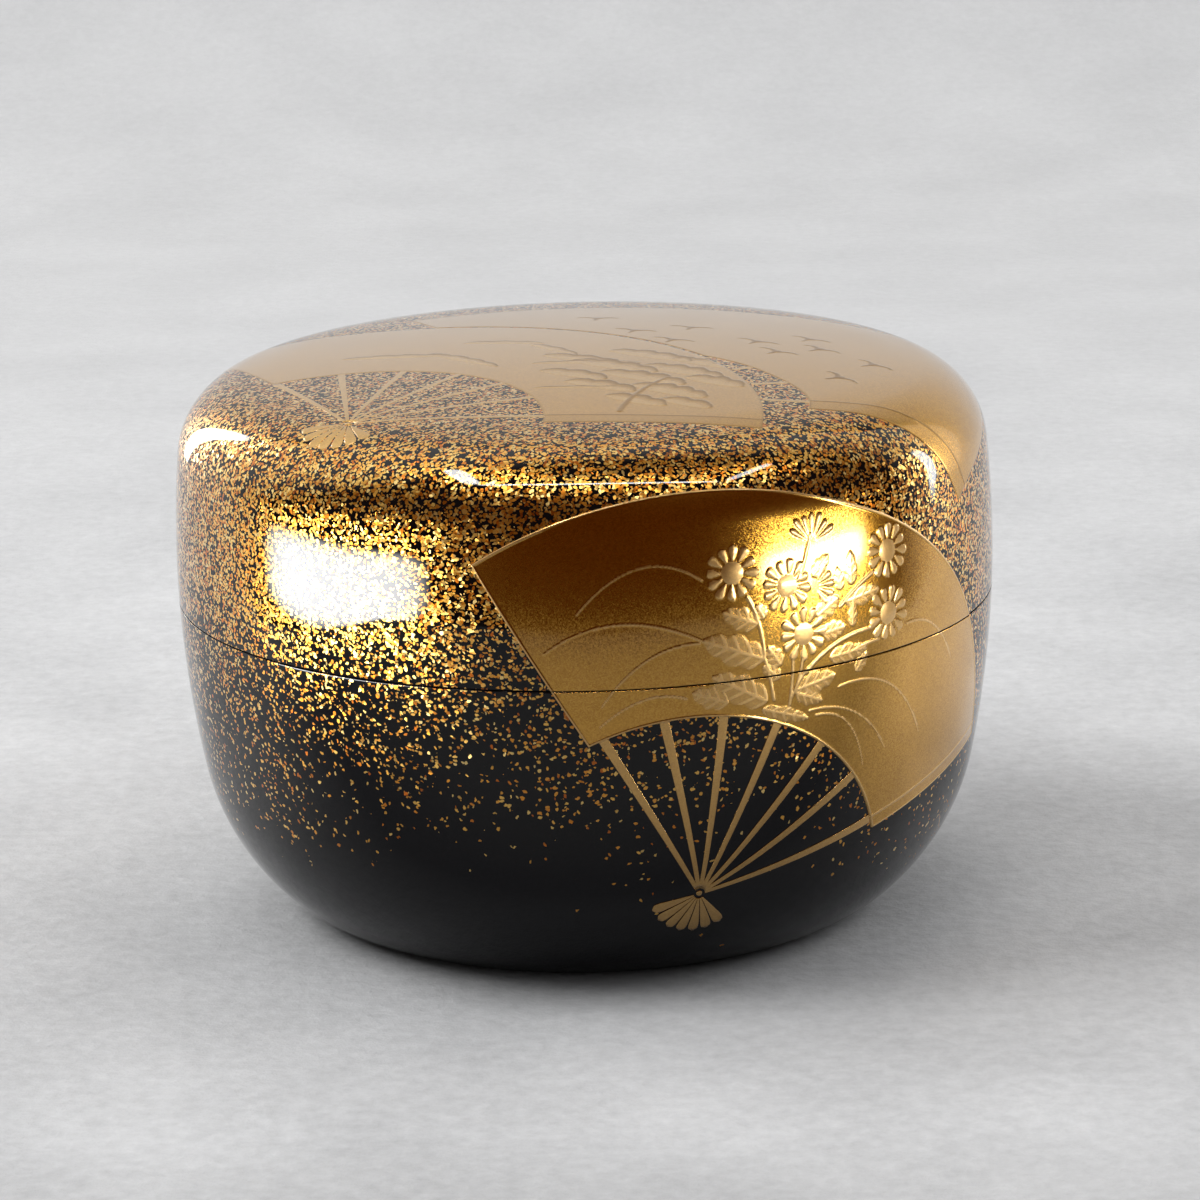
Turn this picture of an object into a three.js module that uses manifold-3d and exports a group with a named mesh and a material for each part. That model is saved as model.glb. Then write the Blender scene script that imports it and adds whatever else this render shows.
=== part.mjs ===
// A low, round lacquer tea caddy. The bowl is turned from wood with a lip round its mouth, and the lid
// drops over that lip down to a hairline seam. Three open fans lie over the two in raised gold: one on
// the front, across the seam, with chrysanthemums and grasses on its leaf, and two on the crown, where
// the right one is tucked under the left one.
// Millimetres, +Z up. The front faces -Y, and the origin is the centre of the foot.
import * as THREE from "three";
import { mergeVertices } from "three/addons/utils/BufferGeometryUtils.js";
import Module from "manifold-3d";

const wasm = await Module();
wasm.setup();

// The outline is a chain of tangent arcs, from the middle of the crown down to the foot. A slope is the
// angle between the surface's outward normal and straight up, so it is 90 degrees at the widest circle.
const WIDEST_RADIUS = 41.5;
const CROWN_SLOPE_DEG = 5.5;
const CROWN_EDGE_RADIUS = 42;
const CROWN_EDGE_SLOPE_DEG = 12;
const SHOULDER_RADIUS = 8.2;
const SHOULDER_SLOPE_DEG = 84;
const SIDE_RADIUS = 109;
const SIDE_SLOPE_DEG = 101;
const BELLY_RADIUS = 23.5;
const BELLY_SLOPE_DEG = 137;
const FOOT_TURN_RADIUS = 13;
const FOOT_SLOPE_DEG = 162;

// Walls and the joint between lid and bowl. The bowl's wall is what the lid's rim, the play and the lip
// take up together, so that lid and bowl are flush outside and the bowl is smooth inside.
const SEAM_HEIGHT = 32.6;
const SEAM_GAP = 0.15;
const LID_WALL = 1.5;
const LIP_PLAY = 0.2;
const LIP_WALL = 1.1;
const LIP_HEIGHT = 6.5;
const LIP_CHAMFER = 0.3;
const FOOT_RING_WIDTH = 2.2;
const FOOT_RECESS = 0.6;
const BOWL_WALL = LID_WALL + LIP_PLAY + LIP_WALL;

// How finely round shapes are cut into flats.
const ROUND_STEPS = 48;
const SLOPE_STEP_DEG = 12;
const INSIDE_SLOPE_STEP_DEG = 24;
const LEAF_STEP_DEG = 7.5;
const LEAF_ROWS = 8;
const RIB_ROWS = 4;
const STROKE_ROWS = 4;
const SLIVER = 0.01;

// Fans. A fan is drawn flat round its pivot and then laid on the surface. Its ribs run from the pivot to
// the leaf and stick out a little behind the pivot. A turn is clockwise from straight up.
const LEAF_OUTER = 40.5;
const LEAF_INNER = 18.9;
const LEAF_RAISE = 0.2;
const RIB_COUNT = 7;
const RIB_RAISE = 0.12;
const RIB_WIDTH_AT_LEAF = 1;
const RIB_WIDTH_AT_PIVOT = 0.3;
const RIB_TAIL = 5;
const RIB_TAIL_WIDTH = 1.3;
const RIVET_RADIUS = 1.4;
const RIVET_RAISE = 0.16;
const GUARD_MARGIN_DEG = 3;
const RELIEF_ROOT = 0.45;
const RIB_UNDER_LEAF = 0.5;
const FAN_OVERLAP_GAP = 0.6;
const NARROWEST_LEAF = 1;

const FRONT_FAN_AZIMUTH_DEG = 15.6;
const FRONT_FAN_BELOW_SEAM = 21.9;
const FRONT_FAN_TURN_DEG = 24;
const FRONT_FAN_SPREAD_DEG = 114;

const CROWN_FAN_TURN_DEG = 36;
const CROWN_FAN_SPREAD_DEG = 118;
const LEFT_FAN_X = -22.3;
const LEFT_FAN_Y = -25.2;
const RIGHT_FAN_X = 1;
const RIGHT_FAN_Y = -21.2;
const RIGHT_LEAF_INNER = 20.6;
const RIGHT_LEAF_OUTER = 43.8;

// Flowers and grasses on the front fan. Places and sizes are shares of the leaf's outer radius, measured
// from the pivot: [across, up, flower radius].
const BLOSSOM_RAISE = 0.5;
const LEAF_BLADE_RAISE = 0.35;
const STEM_RAISE = 0.22;
const STEM_WIDTH = 0.4;
const PETAL_COUNT = 10;
const BLOSSOMS = [
  [0.065, 0.8, 0.064],
  [0.215, 0.745, 0.064],
  [0.26, 0.625, 0.056],
  [0.495, 0.79, 0.062],
  [0.515, 0.635, 0.06],
  [0.3, 0.875, 0.052],
];
// [across, up, length, width, turn]
const FOLIAGE = [
  [0.09, 0.705, 0.085, 0.045, -75],
  [0.09, 0.62, 0.12, 0.055, -70],
  [0.1, 0.535, 0.13, 0.06, -80],
  [0.175, 0.585, 0.075, 0.045, -10],
  [0.33, 0.71, 0.07, 0.045, 40],
  [0.345, 0.655, 0.065, 0.045, 75],
  [0.385, 0.77, 0.08, 0.035, -5],
  [0.38, 0.575, 0.085, 0.05, 85],
  [0.3, 0.505, 0.095, 0.055, 70],
  [0.2, 0.485, 0.09, 0.045, 95],
];
// Each stem is a curve through [across, up] points: its foot, its bend and its tip.
const STEMS = [
  [[0.19, 0.5], [0.17, 0.62], [0.09, 0.74]],
  [[0.2, 0.5], [0.22, 0.6], [0.215, 0.69]],
  [[0.22, 0.49], [0.33, 0.65], [0.46, 0.74]],
  [[0.23, 0.48], [0.34, 0.6], [0.46, 0.625]],
];
const GRASSES = [
  [[-0.01, 0.79], [-0.16, 0.9], [-0.3, 0.72]],
  [[-0.02, 0.645], [-0.22, 0.78], [-0.38, 0.63]],
  [[-0.02, 0.62], [-0.2, 0.64], [-0.25, 0.49]],
  [[0.57, 0.6], [0.68, 0.62], [0.77, 0.47]],
  [[0.36, 0.49], [0.52, 0.53], [0.64, 0.31]],
  [[0.28, 0.44], [0.43, 0.46], [0.52, 0.29]],
];

const degrees = THREE.MathUtils.degToRad;
const sine = (slope) => Math.sin(degrees(slope));
const cosine = (slope) => Math.cos(degrees(slope));

// The crown's own radius follows from what the other arcs leave between the axis and the widest circle.
function crownRadius() {
  const side = SIDE_RADIUS * (1 - sine(SHOULDER_SLOPE_DEG));
  const shoulder = SHOULDER_RADIUS * (sine(SHOULDER_SLOPE_DEG) - sine(CROWN_EDGE_SLOPE_DEG));
  const edge = CROWN_EDGE_RADIUS * (sine(CROWN_EDGE_SLOPE_DEG) - sine(CROWN_SLOPE_DEG));
  return (WIDEST_RADIUS - side - shoulder - edge) / sine(CROWN_SLOPE_DEG);
}

// The arcs in order, each with where it starts: its radius from the axis, its height and its distance
// along the outline from the middle of the crown.
function outlineArcs() {
  const plan = [
    [CROWN_SLOPE_DEG, crownRadius()],
    [CROWN_EDGE_SLOPE_DEG, CROWN_EDGE_RADIUS],
    [SHOULDER_SLOPE_DEG, SHOULDER_RADIUS],
    [SIDE_SLOPE_DEG, SIDE_RADIUS],
    [BELLY_SLOPE_DEG, BELLY_RADIUS],
    [FOOT_SLOPE_DEG, FOOT_TURN_RADIUS],
  ];
  let here = { slope: 0, radius: 0, height: 0, along: 0 };
  const arcs = plan.map(([slope, bend]) => {
    const arc = { ...here, bend, end: slope };
    here = {
      slope,
      radius: here.radius + bend * (sine(slope) - sine(here.slope)),
      height: here.height + bend * (cosine(slope) - cosine(here.slope)),
      along: here.along + bend * degrees(slope - here.slope),
    };
    return arc;
  });
  const drop = here.height;
  arcs.forEach((arc) => (arc.height -= drop));
  return arcs;
}
const ARCS = outlineArcs();

// The point of the outline where an arc has a slope.
function arcPoint(arc, slope) {
  return {
    slope,
    radius: arc.radius + arc.bend * (sine(slope) - sine(arc.slope)),
    height: arc.height + arc.bend * (cosine(slope) - cosine(arc.slope)),
  };
}

function outlineAt(along) {
  const arc = ARCS.findLast((candidate) => along >= candidate.along) ?? ARCS[0];
  return arcPoint(arc, arc.slope + THREE.MathUtils.radToDeg((along - arc.along) / arc.bend));
}

function slopeAtHeight(height) {
  const arc = ARCS.findLast((candidate) => height <= candidate.height);
  const turned = (height - arc.height) / arc.bend + cosine(arc.slope);
  return THREE.MathUtils.radToDeg(Math.acos(turned));
}

function alongAtSlope(slope) {
  const arc = ARCS.findLast((candidate) => slope >= candidate.slope);
  return arc.along + arc.bend * degrees(slope - arc.slope);
}

// Points of the outline between two slopes, moved inwards by a wall, as a lathe profile takes them.
function profileRun(fromSlope, toSlope, inset, slopeStep = SLOPE_STEP_DEG) {
  const points = [];
  for (const arc of ARCS) {
    const start = Math.max(arc.slope, fromSlope);
    const end = Math.min(arc.end, toSlope);
    if (end <= start) continue;
    const steps = Math.ceil((end - start) / slopeStep);
    for (let step = points.length ? 1 : 0; step <= steps; step++) {
      const spot = arcPoint(arc, start + ((end - start) * step) / steps);
      const radius = Math.max(spot.radius - inset * sine(spot.slope), 0);
      points.push(new THREE.Vector2(radius, spot.height - inset * cosine(spot.slope)));
    }
  }
  return points;
}

// A closed geometry as a solid for joining and cutting.
function solidOf(geometry) {
  geometry.deleteAttribute("normal");
  geometry.deleteAttribute("uv");
  const merged = mergeVertices(geometry, 1e-4);
  const corners = [];
  for (let i = 0; i < merged.index.count; i += 3) {
    const [a, b, c] = [0, 1, 2].map((k) => merged.index.getX(i + k));
    if (a !== b && b !== c && c !== a) corners.push(a, b, c);
  }
  const mesh = new wasm.Mesh({
    numProp: 3,
    vertProperties: new Float32Array(merged.getAttribute("position").array),
    triVerts: new Uint32Array(corners),
  });
  return new wasm.Manifold(mesh);
}

function geometryOf(solid) {
  const mesh = solid.getMesh();
  const geometry = new THREE.BufferGeometry();
  geometry.setAttribute("position", new THREE.BufferAttribute(mesh.vertProperties, 3));
  geometry.setIndex(new THREE.BufferAttribute(mesh.triVerts, 1));
  geometry.computeVertexNormals();
  return geometry;
}

function joined(solids) {
  return wasm.Manifold.union(solids);
}

// A profile of [radius, height] points turned about the upright axis.
function turned(profile) {
  const lathe = new THREE.LatheGeometry(profile, ROUND_STEPS);
  lathe.rotateX(Math.PI / 2);
  return solidOf(lathe);
}

const SEAM_SLOPE = slopeAtHeight(SEAM_HEIGHT);
const SEAM_RADIUS = arcPoint(ARCS.findLast((arc) => SEAM_SLOPE >= arc.slope), SEAM_SLOPE).radius;
const LIP_TOP = SEAM_HEIGHT + LIP_HEIGHT;
const LIP_INNER = SEAM_RADIUS - BOWL_WALL;
const LIP_OUTER = LIP_INNER + LIP_WALL;
const FOOT_RADIUS = profileRun(0, FOOT_SLOPE_DEG, 0).at(-1).x;

function lidShell() {
  const rim = SEAM_HEIGHT + SEAM_GAP;
  const outside = profileRun(0, slopeAtHeight(rim), 0);
  const inside = profileRun(0, slopeAtHeight(rim + LID_WALL), LID_WALL, INSIDE_SLOPE_STEP_DEG);
  const rimInside = new THREE.Vector2(outside.at(-1).x - LID_WALL, rim);
  return turned([...outside, rimInside, ...inside.reverse()].reverse());
}

function bowlShell() {
  const outside = profileRun(SEAM_SLOPE, FOOT_SLOPE_DEG, 0);
  const mouth = slopeAtHeight(SEAM_HEIGHT - BOWL_WALL);
  const inside = profileRun(mouth, FOOT_SLOPE_DEG, BOWL_WALL, INSIDE_SLOPE_STEP_DEG);
  const floor = inside.at(-1).y;
  const ringInner = FOOT_RADIUS - FOOT_RING_WIDTH;
  const point = (radius, height) => new THREE.Vector2(radius, height);
  return turned([
    point(0, FOOT_RECESS),
    point(ringInner, FOOT_RECESS),
    point(ringInner, 0),
    ...outside.reverse(),
    point(LIP_OUTER, SEAM_HEIGHT),
    point(LIP_OUTER, LIP_TOP - LIP_CHAMFER),
    point(LIP_OUTER - LIP_CHAMFER, LIP_TOP),
    point(LIP_INNER, LIP_TOP),
    ...inside,
    point(0, floor),
  ]);
}

// A point above the surface, from its distance along the outline and its bearing from the front.
function onSurface(along, bearing, raise) {
  const spot = outlineAt(along);
  const radius = spot.radius + raise * sine(spot.slope);
  const height = spot.height + raise * cosine(spot.slope);
  return new THREE.Vector3(radius * Math.sin(bearing), -radius * Math.cos(bearing), height);
}

// Lays the flat drawing of a fan on the side: across is wrapped round, up runs up the outline.
function sidePlace(azimuth, belowSeam) {
  const pivotAlong = alongAtSlope(SEAM_SLOPE) + belowSeam;
  return (across, up, raise) =>
    onSurface(pivotAlong - up, degrees(azimuth) + across / WIDEST_RADIUS, raise);
}

// Lays it on the crown: distances from the middle are kept, and run on down the side past the shoulder.
function crownPlace(pivotX, pivotY) {
  return (across, up, raise) => {
    const x = pivotX + across;
    const y = pivotY + up;
    return onSurface(Math.hypot(x, y), Math.atan2(x, -y), raise);
  };
}

// A closed shell on the surface from a grid of flat points, raised above it and rooted below it. Its
// columns run to the right of the way its rows run.
function laidGrid(place, columns, rows, flatPoint, raiseAt, root = RELIEF_ROOT) {
  const positions = [];
  const corner = (layer, i, j) => (layer * (columns + 1) + i) * (rows + 1) + j;
  for (const top of [false, true])
    for (let i = 0; i <= columns; i++)
      for (let j = 0; j <= rows; j++) {
        const [across, up] = flatPoint(i / columns, j / rows);
        const raise = top ? raiseAt(i / columns, j / rows) : -root;
        positions.push(...place(across, up, raise).toArray());
      }
  const index = [];
  const quad = (a, b, c, d) => index.push(a, b, c, a, c, d);
  for (let i = 0; i < columns; i++)
    for (let j = 0; j < rows; j++) {
      quad(corner(1, i, j), corner(1, i + 1, j), corner(1, i + 1, j + 1), corner(1, i, j + 1));
      quad(corner(0, i, j), corner(0, i, j + 1), corner(0, i + 1, j + 1), corner(0, i + 1, j));
    }
  for (let i = 0; i < columns; i++) {
    quad(corner(0, i, 0), corner(0, i + 1, 0), corner(1, i + 1, 0), corner(1, i, 0));
    quad(corner(0, i + 1, rows), corner(0, i, rows), corner(1, i, rows), corner(1, i + 1, rows));
  }
  for (let j = 0; j < rows; j++) {
    quad(corner(0, 0, j + 1), corner(0, 0, j), corner(1, 0, j), corner(1, 0, j + 1));
    quad(corner(0, columns, j), corner(0, columns, j + 1), corner(1, columns, j + 1), corner(1, columns, j));
  }
  const geometry = new THREE.BufferGeometry();
  geometry.setAttribute("position", new THREE.Float32BufferAttribute(positions, 3));
  geometry.setIndex(index);
  return solidOf(geometry);
}

// A low mound on the surface from rings of flat points, each [across, up, raise]. The rings run in from
// the mound's edge to its crest, and the first one is let down into the wall as its root.
function laidMound(place, rings, crest, root = RELIEF_ROOT) {
  const count = rings[0].length;
  const rootRing = rings[0].map(([across, up]) => [across, up, -root]);
  const layers = [rootRing, ...rings];
  const points = [...layers.flat(), crest, [crest[0], crest[1], -root]];
  const top = layers.length * count;
  const index = [];
  for (let i = 0; i < count; i++) {
    const next = (i + 1) % count;
    for (let layer = 0; layer < layers.length - 1; layer++) {
      const [low, high] = [layer * count, (layer + 1) * count];
      index.push(low + i, low + next, high + next, low + i, high + next, high + i);
    }
    index.push(top - count + i, top - count + next, top);
    index.push(next, i, top + 1);
  }
  const geometry = new THREE.BufferGeometry();
  const positions = points.flatMap(([across, up, raise]) => place(across, up, raise).toArray());
  geometry.setAttribute("position", new THREE.Float32BufferAttribute(positions, 3));
  geometry.setIndex(index);
  return solidOf(geometry);
}

const polar = (distance, turn) => [distance * sine(turn), distance * cosine(turn)];

// How far from the pivot a fan comes out from under another one's leaf, along a turn.
function showsFrom(fan, turn) {
  if (!fan.under) return 0;
  const [dx, dy] = [fan.pivot[0] - fan.under.pivot[0], fan.pivot[1] - fan.under.pivot[1]];
  const [ux, uy] = polar(1, turn);
  const reach = fan.under.outer + FAN_OVERLAP_GAP;
  const half = dx * ux + dy * uy;
  return -half + Math.sqrt(half * half + reach * reach - dx * dx - dy * dy);
}

function fanLeaf(fan) {
  const columns = Math.round(fan.spread / LEAF_STEP_DEG);
  const turnAt = (share) => fan.turn + (share - 0.5) * fan.spread;
  const flatPoint = (share, outward) => {
    const turn = turnAt(share);
    const inner = Math.min(Math.max(fan.inner, showsFrom(fan, turn)), fan.outer - NARROWEST_LEAF);
    return polar(inner + (fan.outer - inner) * outward, turn);
  };
  return laidGrid(fan.place, columns, LEAF_ROWS, flatPoint, () => LEAF_RAISE);
}

function fanRibs(fan) {
  const step = (fan.spread - 2 * GUARD_MARGIN_DEG) / (RIB_COUNT - 1);
  const bars = [];
  const bar = (turn, rows, from, to, widthTo) => {
    const side = [cosine(turn), -sine(turn)];
    const flatPoint = (share, outward) => {
      const [x, y] = polar(from + (to - from) * outward, turn);
      const width = RIB_WIDTH_AT_PIVOT + (widthTo - RIB_WIDTH_AT_PIVOT) * outward;
      const shift = (share - 0.5) * width;
      return [x + side[0] * shift, y + side[1] * shift];
    };
    bars.push(laidGrid(fan.place, 1, rows, flatPoint, () => RIB_RAISE));
  };
  for (let k = 0; k < RIB_COUNT; k++) {
    const turn = fan.turn - fan.spread / 2 + GUARD_MARGIN_DEG + k * step;
    const start = fan.under ? showsFrom(fan, turn) : 0;
    const from = Math.max(start, RIVET_RADIUS / 2);
    if (from < fan.inner) bar(turn, RIB_ROWS, from, fan.inner + RIB_UNDER_LEAF, RIB_WIDTH_AT_LEAF);
    if (!fan.under) bar(turn + 180, 1, RIVET_RADIUS / 2, RIB_TAIL, RIB_TAIL_WIDTH);
  }
  return fan.under ? bars : [...bars, rivet(fan.place)];
}

// The small disc where the ribs cross.
function rivet(place) {
  const edge = Array.from({ length: 12 }, (_, k) => [...polar(RIVET_RADIUS, -k * 30), RIVET_RAISE]);
  return laidMound(place, [edge], [0, 0, RIVET_RAISE * 1.2], RELIEF_ROOT * 1.3);
}

// An open chrysanthemum: a ring of petals, parted by notches, round a domed middle.
function blossom(place, across, up, radius) {
  const ring = (tip, notch, tipRaise, notchRaise) =>
    Array.from({ length: 2 * PETAL_COUNT }, (_, k) => {
      const [distance, raise] = k % 2 ? [notch, notchRaise] : [tip, tipRaise];
      const [x, y] = polar(distance * radius, (-k * 180) / PETAL_COUNT);
      return [across + x, up + y, raise];
    });
  const foot = LEAF_RAISE * 0.5;
  const rings = [
    ring(1.04, 0.86, foot, foot),
    ring(0.86, 0.78, BLOSSOM_RAISE, LEAF_RAISE * 1.2),
    ring(0.44, 0.4, LEAF_RAISE * 1.6, LEAF_RAISE * 1.3),
  ];
  return laidMound(place, rings, [across, up, BLOSSOM_RAISE * 1.1]);
}

// A pointed leaf that rises to its midrib.
function foliage(place, across, up, length, width, turn) {
  const spot = (outward, sideways) => {
    const [x, y] = polar(outward * length, turn);
    const [sx, sy] = polar(sideways * width, turn + 90);
    return [across + x + sx, up + y + sy, LEAF_RAISE * 0.5];
  };
  const edge = [
    spot(-0.5, 0),
    spot(-0.25, 0.42),
    spot(0.15, 0.45),
    spot(0.5, 0),
    spot(0.15, -0.45),
    spot(-0.25, -0.42),
  ];
  return laidMound(place, [edge], [across, up, LEAF_BLADE_RAISE]);
}

// A thin raised line along a curve, for a stem or a blade of grass, running out to a point.
function stroke(place, points, scale) {
  const flat = points.map(([across, up]) => new THREE.Vector3(across * scale, up * scale, 0));
  const curve = new THREE.QuadraticBezierCurve3(...flat);
  const flatPoint = (share, outward) => {
    const spot = curve.getPoint(outward);
    const way = curve.getTangent(outward);
    const shift = (share - 0.5) * STEM_WIDTH * (1 - 0.6 * outward);
    return [spot.x + way.y * shift, spot.y - way.x * shift];
  };
  return laidGrid(place, 1, STROKE_ROWS, flatPoint, () => LEAF_RAISE + STEM_RAISE, 0);
}

function plants(fan) {
  const size = fan.outer;
  const scaled = (row, lengths) => row.map((value, i) => (i < lengths ? value * size : value));
  return [
    ...BLOSSOMS.map((row) => blossom(fan.place, ...scaled(row, 3))),
    ...FOLIAGE.map((row) => foliage(fan.place, ...scaled(row, 4))),
    ...[...STEMS, ...GRASSES].map((points) => stroke(fan.place, points, size)),
  ];
}

function allFans() {
  const front = {
    place: sidePlace(FRONT_FAN_AZIMUTH_DEG, FRONT_FAN_BELOW_SEAM),
    turn: FRONT_FAN_TURN_DEG,
    spread: FRONT_FAN_SPREAD_DEG,
    inner: LEAF_INNER,
    outer: LEAF_OUTER,
  };
  const left = {
    place: crownPlace(LEFT_FAN_X, LEFT_FAN_Y),
    pivot: [LEFT_FAN_X, LEFT_FAN_Y],
    turn: CROWN_FAN_TURN_DEG,
    spread: CROWN_FAN_SPREAD_DEG,
    inner: LEAF_INNER,
    outer: LEAF_OUTER,
  };
  const right = {
    place: crownPlace(RIGHT_FAN_X, RIGHT_FAN_Y),
    pivot: [RIGHT_FAN_X, RIGHT_FAN_Y],
    turn: CROWN_FAN_TURN_DEG,
    spread: CROWN_FAN_SPREAD_DEG,
    inner: RIGHT_LEAF_INNER,
    outer: RIGHT_LEAF_OUTER,
    under: left,
  };
  const fans = [front, left, right];
  return joined([...fans.flatMap((fan) => [fanLeaf(fan), ...fanRibs(fan)]), ...plants(front)]);
}

// A slab wider than the caddy, to keep what is above or below the seam.
function slab(fromHeight, toHeight) {
  const reach = 2.5 * WIDEST_RADIUS;
  const box = new THREE.BoxGeometry(reach, reach, toHeight - fromHeight);
  box.translate(0, 0, (fromHeight + toHeight) / 2);
  return solidOf(box);
}

const relief = allFans();
const above = slab(SEAM_HEIGHT + SEAM_GAP, ARCS[0].height + WIDEST_RADIUS);
const below = slab(0, SEAM_HEIGHT);
const lidSolid = lidShell().add(relief.intersect(above)).simplify(SLIVER);
const bowlSolid = bowlShell().add(relief.intersect(below)).simplify(SLIVER);

const goldOnBlack = { color: 0x6b5026, roughness: 0.22, metalness: 0.75 };
const blackLacquer = { color: 0x14120f, roughness: 0.12, metalness: 0.1 };

const lid = new THREE.Mesh(geometryOf(lidSolid), new THREE.MeshStandardMaterial(goldOnBlack));
lid.name = "lid";
const bowl = new THREE.Mesh(geometryOf(bowlSolid), new THREE.MeshStandardMaterial(blackLacquer));
bowl.name = "bowl";

const caddy = new THREE.Group();
caddy.name = "tea_caddy";
caddy.add(bowl, lid);

export default caddy;
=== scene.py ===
# %% [markdown]
# A round tea caddy in black lacquer, sprinkled with gold flakes and decorated with open fans in raised
# gold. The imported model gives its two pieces, the lid and the bowl, as a fixed frame. This notebook turns
# the same outline much more finely, lays the gold on it and lights it. Every length is in millimetres
# until a mesh is made, because that is how a turner or a lacquerer would think of it.

import math

import bmesh
import bpy
import numpy as np
from mathutils import Matrix


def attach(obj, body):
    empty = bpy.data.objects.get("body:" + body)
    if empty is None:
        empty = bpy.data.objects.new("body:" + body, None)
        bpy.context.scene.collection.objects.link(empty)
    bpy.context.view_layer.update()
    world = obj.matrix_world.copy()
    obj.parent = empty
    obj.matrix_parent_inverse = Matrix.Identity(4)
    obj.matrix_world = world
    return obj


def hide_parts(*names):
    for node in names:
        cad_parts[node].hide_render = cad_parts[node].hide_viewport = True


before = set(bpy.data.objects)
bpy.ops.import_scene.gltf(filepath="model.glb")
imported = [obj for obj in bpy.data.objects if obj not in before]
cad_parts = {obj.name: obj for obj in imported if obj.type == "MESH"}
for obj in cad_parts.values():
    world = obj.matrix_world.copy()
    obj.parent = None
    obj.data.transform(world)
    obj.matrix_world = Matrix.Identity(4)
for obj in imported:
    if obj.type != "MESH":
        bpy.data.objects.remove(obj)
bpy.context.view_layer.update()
MM = 0.001
print("nodes:", sorted(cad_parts))

# %% [markdown]
# The outline of the real caddy is turned by hand, and it reads as a few curves that run into each other
# without a break. It could be drawn as a spline, but a chain of tangent arcs has the look of turned wood
# and gives the exact slope everywhere, which the gold needs to stand square on the surface. A slope is
# the angle between the surface and a table top: 0 in the middle of the crown, 90 at the widest circle.

# %% The outline as a chain of arcs
WIDEST_RADIUS = 41.5
SLOPES = [5.5, 12.0, 84.0, 101.0, 137.0, 162.0]
BENDS = [None, 42.0, 8.2, 109.0, 23.5, 13.0]
SEAM_HEIGHT = 32.6


def outline_arcs():
    """Each arc's first slope, radius from the axis, height, distance from the crown, and its bend."""
    sines = np.sin(np.radians([0.0] + SLOPES))
    spent = sum(BENDS[i] * (sines[i + 1] - sines[i]) for i in (1, 2))
    spent += BENDS[3] * (1.0 - sines[3])
    bends = [(WIDEST_RADIUS - spent) / sines[1]] + BENDS[1:]
    arcs = []
    slope, radius, height, along = 0.0, 0.0, 0.0, 0.0
    for bend, end in zip(bends, SLOPES):
        arcs.append([slope, radius, height, along, bend])
        start, stop = math.radians(slope), math.radians(end)
        radius += bend * (math.sin(stop) - math.sin(start))
        height += bend * (math.cos(stop) - math.cos(start))
        along += bend * (stop - start)
        slope = end
    arcs = np.array(arcs)
    arcs[:, 2] -= height
    return arcs, radius, along


ARCS, FOOT_RADIUS, OUTLINE_LENGTH = outline_arcs()


def outline_at(along):
    """Radius, height and slope in radians at distances along the outline from the crown's middle."""
    along = np.clip(along, 0.0, OUTLINE_LENGTH)
    which = np.searchsorted(ARCS[:, 3], along, side="right") - 1
    slope0, radius0, height0, along0, bend = np.moveaxis(ARCS[which], -1, 0)
    start = np.radians(slope0)
    slope = start + (along - along0) / bend
    radius = radius0 + bend * (np.sin(slope) - np.sin(start))
    height = height0 + bend * (np.cos(slope) - np.cos(start))
    return radius, height, slope


FINE_RUN = np.linspace(0.0, OUTLINE_LENGTH, 4001)
SEAM_ALONG = float(np.interp(-SEAM_HEIGHT, -outline_at(FINE_RUN)[1], FINE_RUN))
print("height", round(float(ARCS[0, 2]), 2), "mm, seam", round(SEAM_ALONG, 2), "mm down the outline")

# %% [markdown]
# Both pieces are turned on a lathe. A Geometry Nodes tree does the same: it takes the points of a profile,
# makes a grid with one row for each point, and rolls the grid round the upright axis. It has named inputs
# for the steps round and the material, so that lid and bowl share one tree.

# %% A lathe in Geometry Nodes


def new_tree(name, inputs):
    """A geometry node group with a geometry input and output and the named inputs."""
    tree = bpy.data.node_groups.new(name, "GeometryNodeTree")
    tree.interface.new_socket(name="Geometry", in_out="INPUT", socket_type="NodeSocketGeometry")
    tree.interface.new_socket(name="Geometry", in_out="OUTPUT", socket_type="NodeSocketGeometry")
    for label, kind, value in inputs:
        socket = tree.interface.new_socket(name=label, in_out="INPUT", socket_type=kind)
        if value is not None:
            socket.default_value = value
    return tree


def add(tree, kind, values=(), **settings):
    """A node with its settings, and with its unlinked inputs set by name or number."""
    node = tree.nodes.new(kind)
    for key, value in settings.items():
        setattr(node, key, value)
    for key, value in dict(values).items():
        if isinstance(value, bpy.types.NodeSocket):
            tree.links.new(value, node.inputs[key])
        else:
            node.inputs[key].default_value = value
    return node


def math_node(tree, operation, a, b=None):
    """A math node on two sockets or numbers."""
    values = {0: a} if b is None else {0: a, 1: b}
    return add(tree, "ShaderNodeMath", values, operation=operation).outputs[0]


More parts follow.
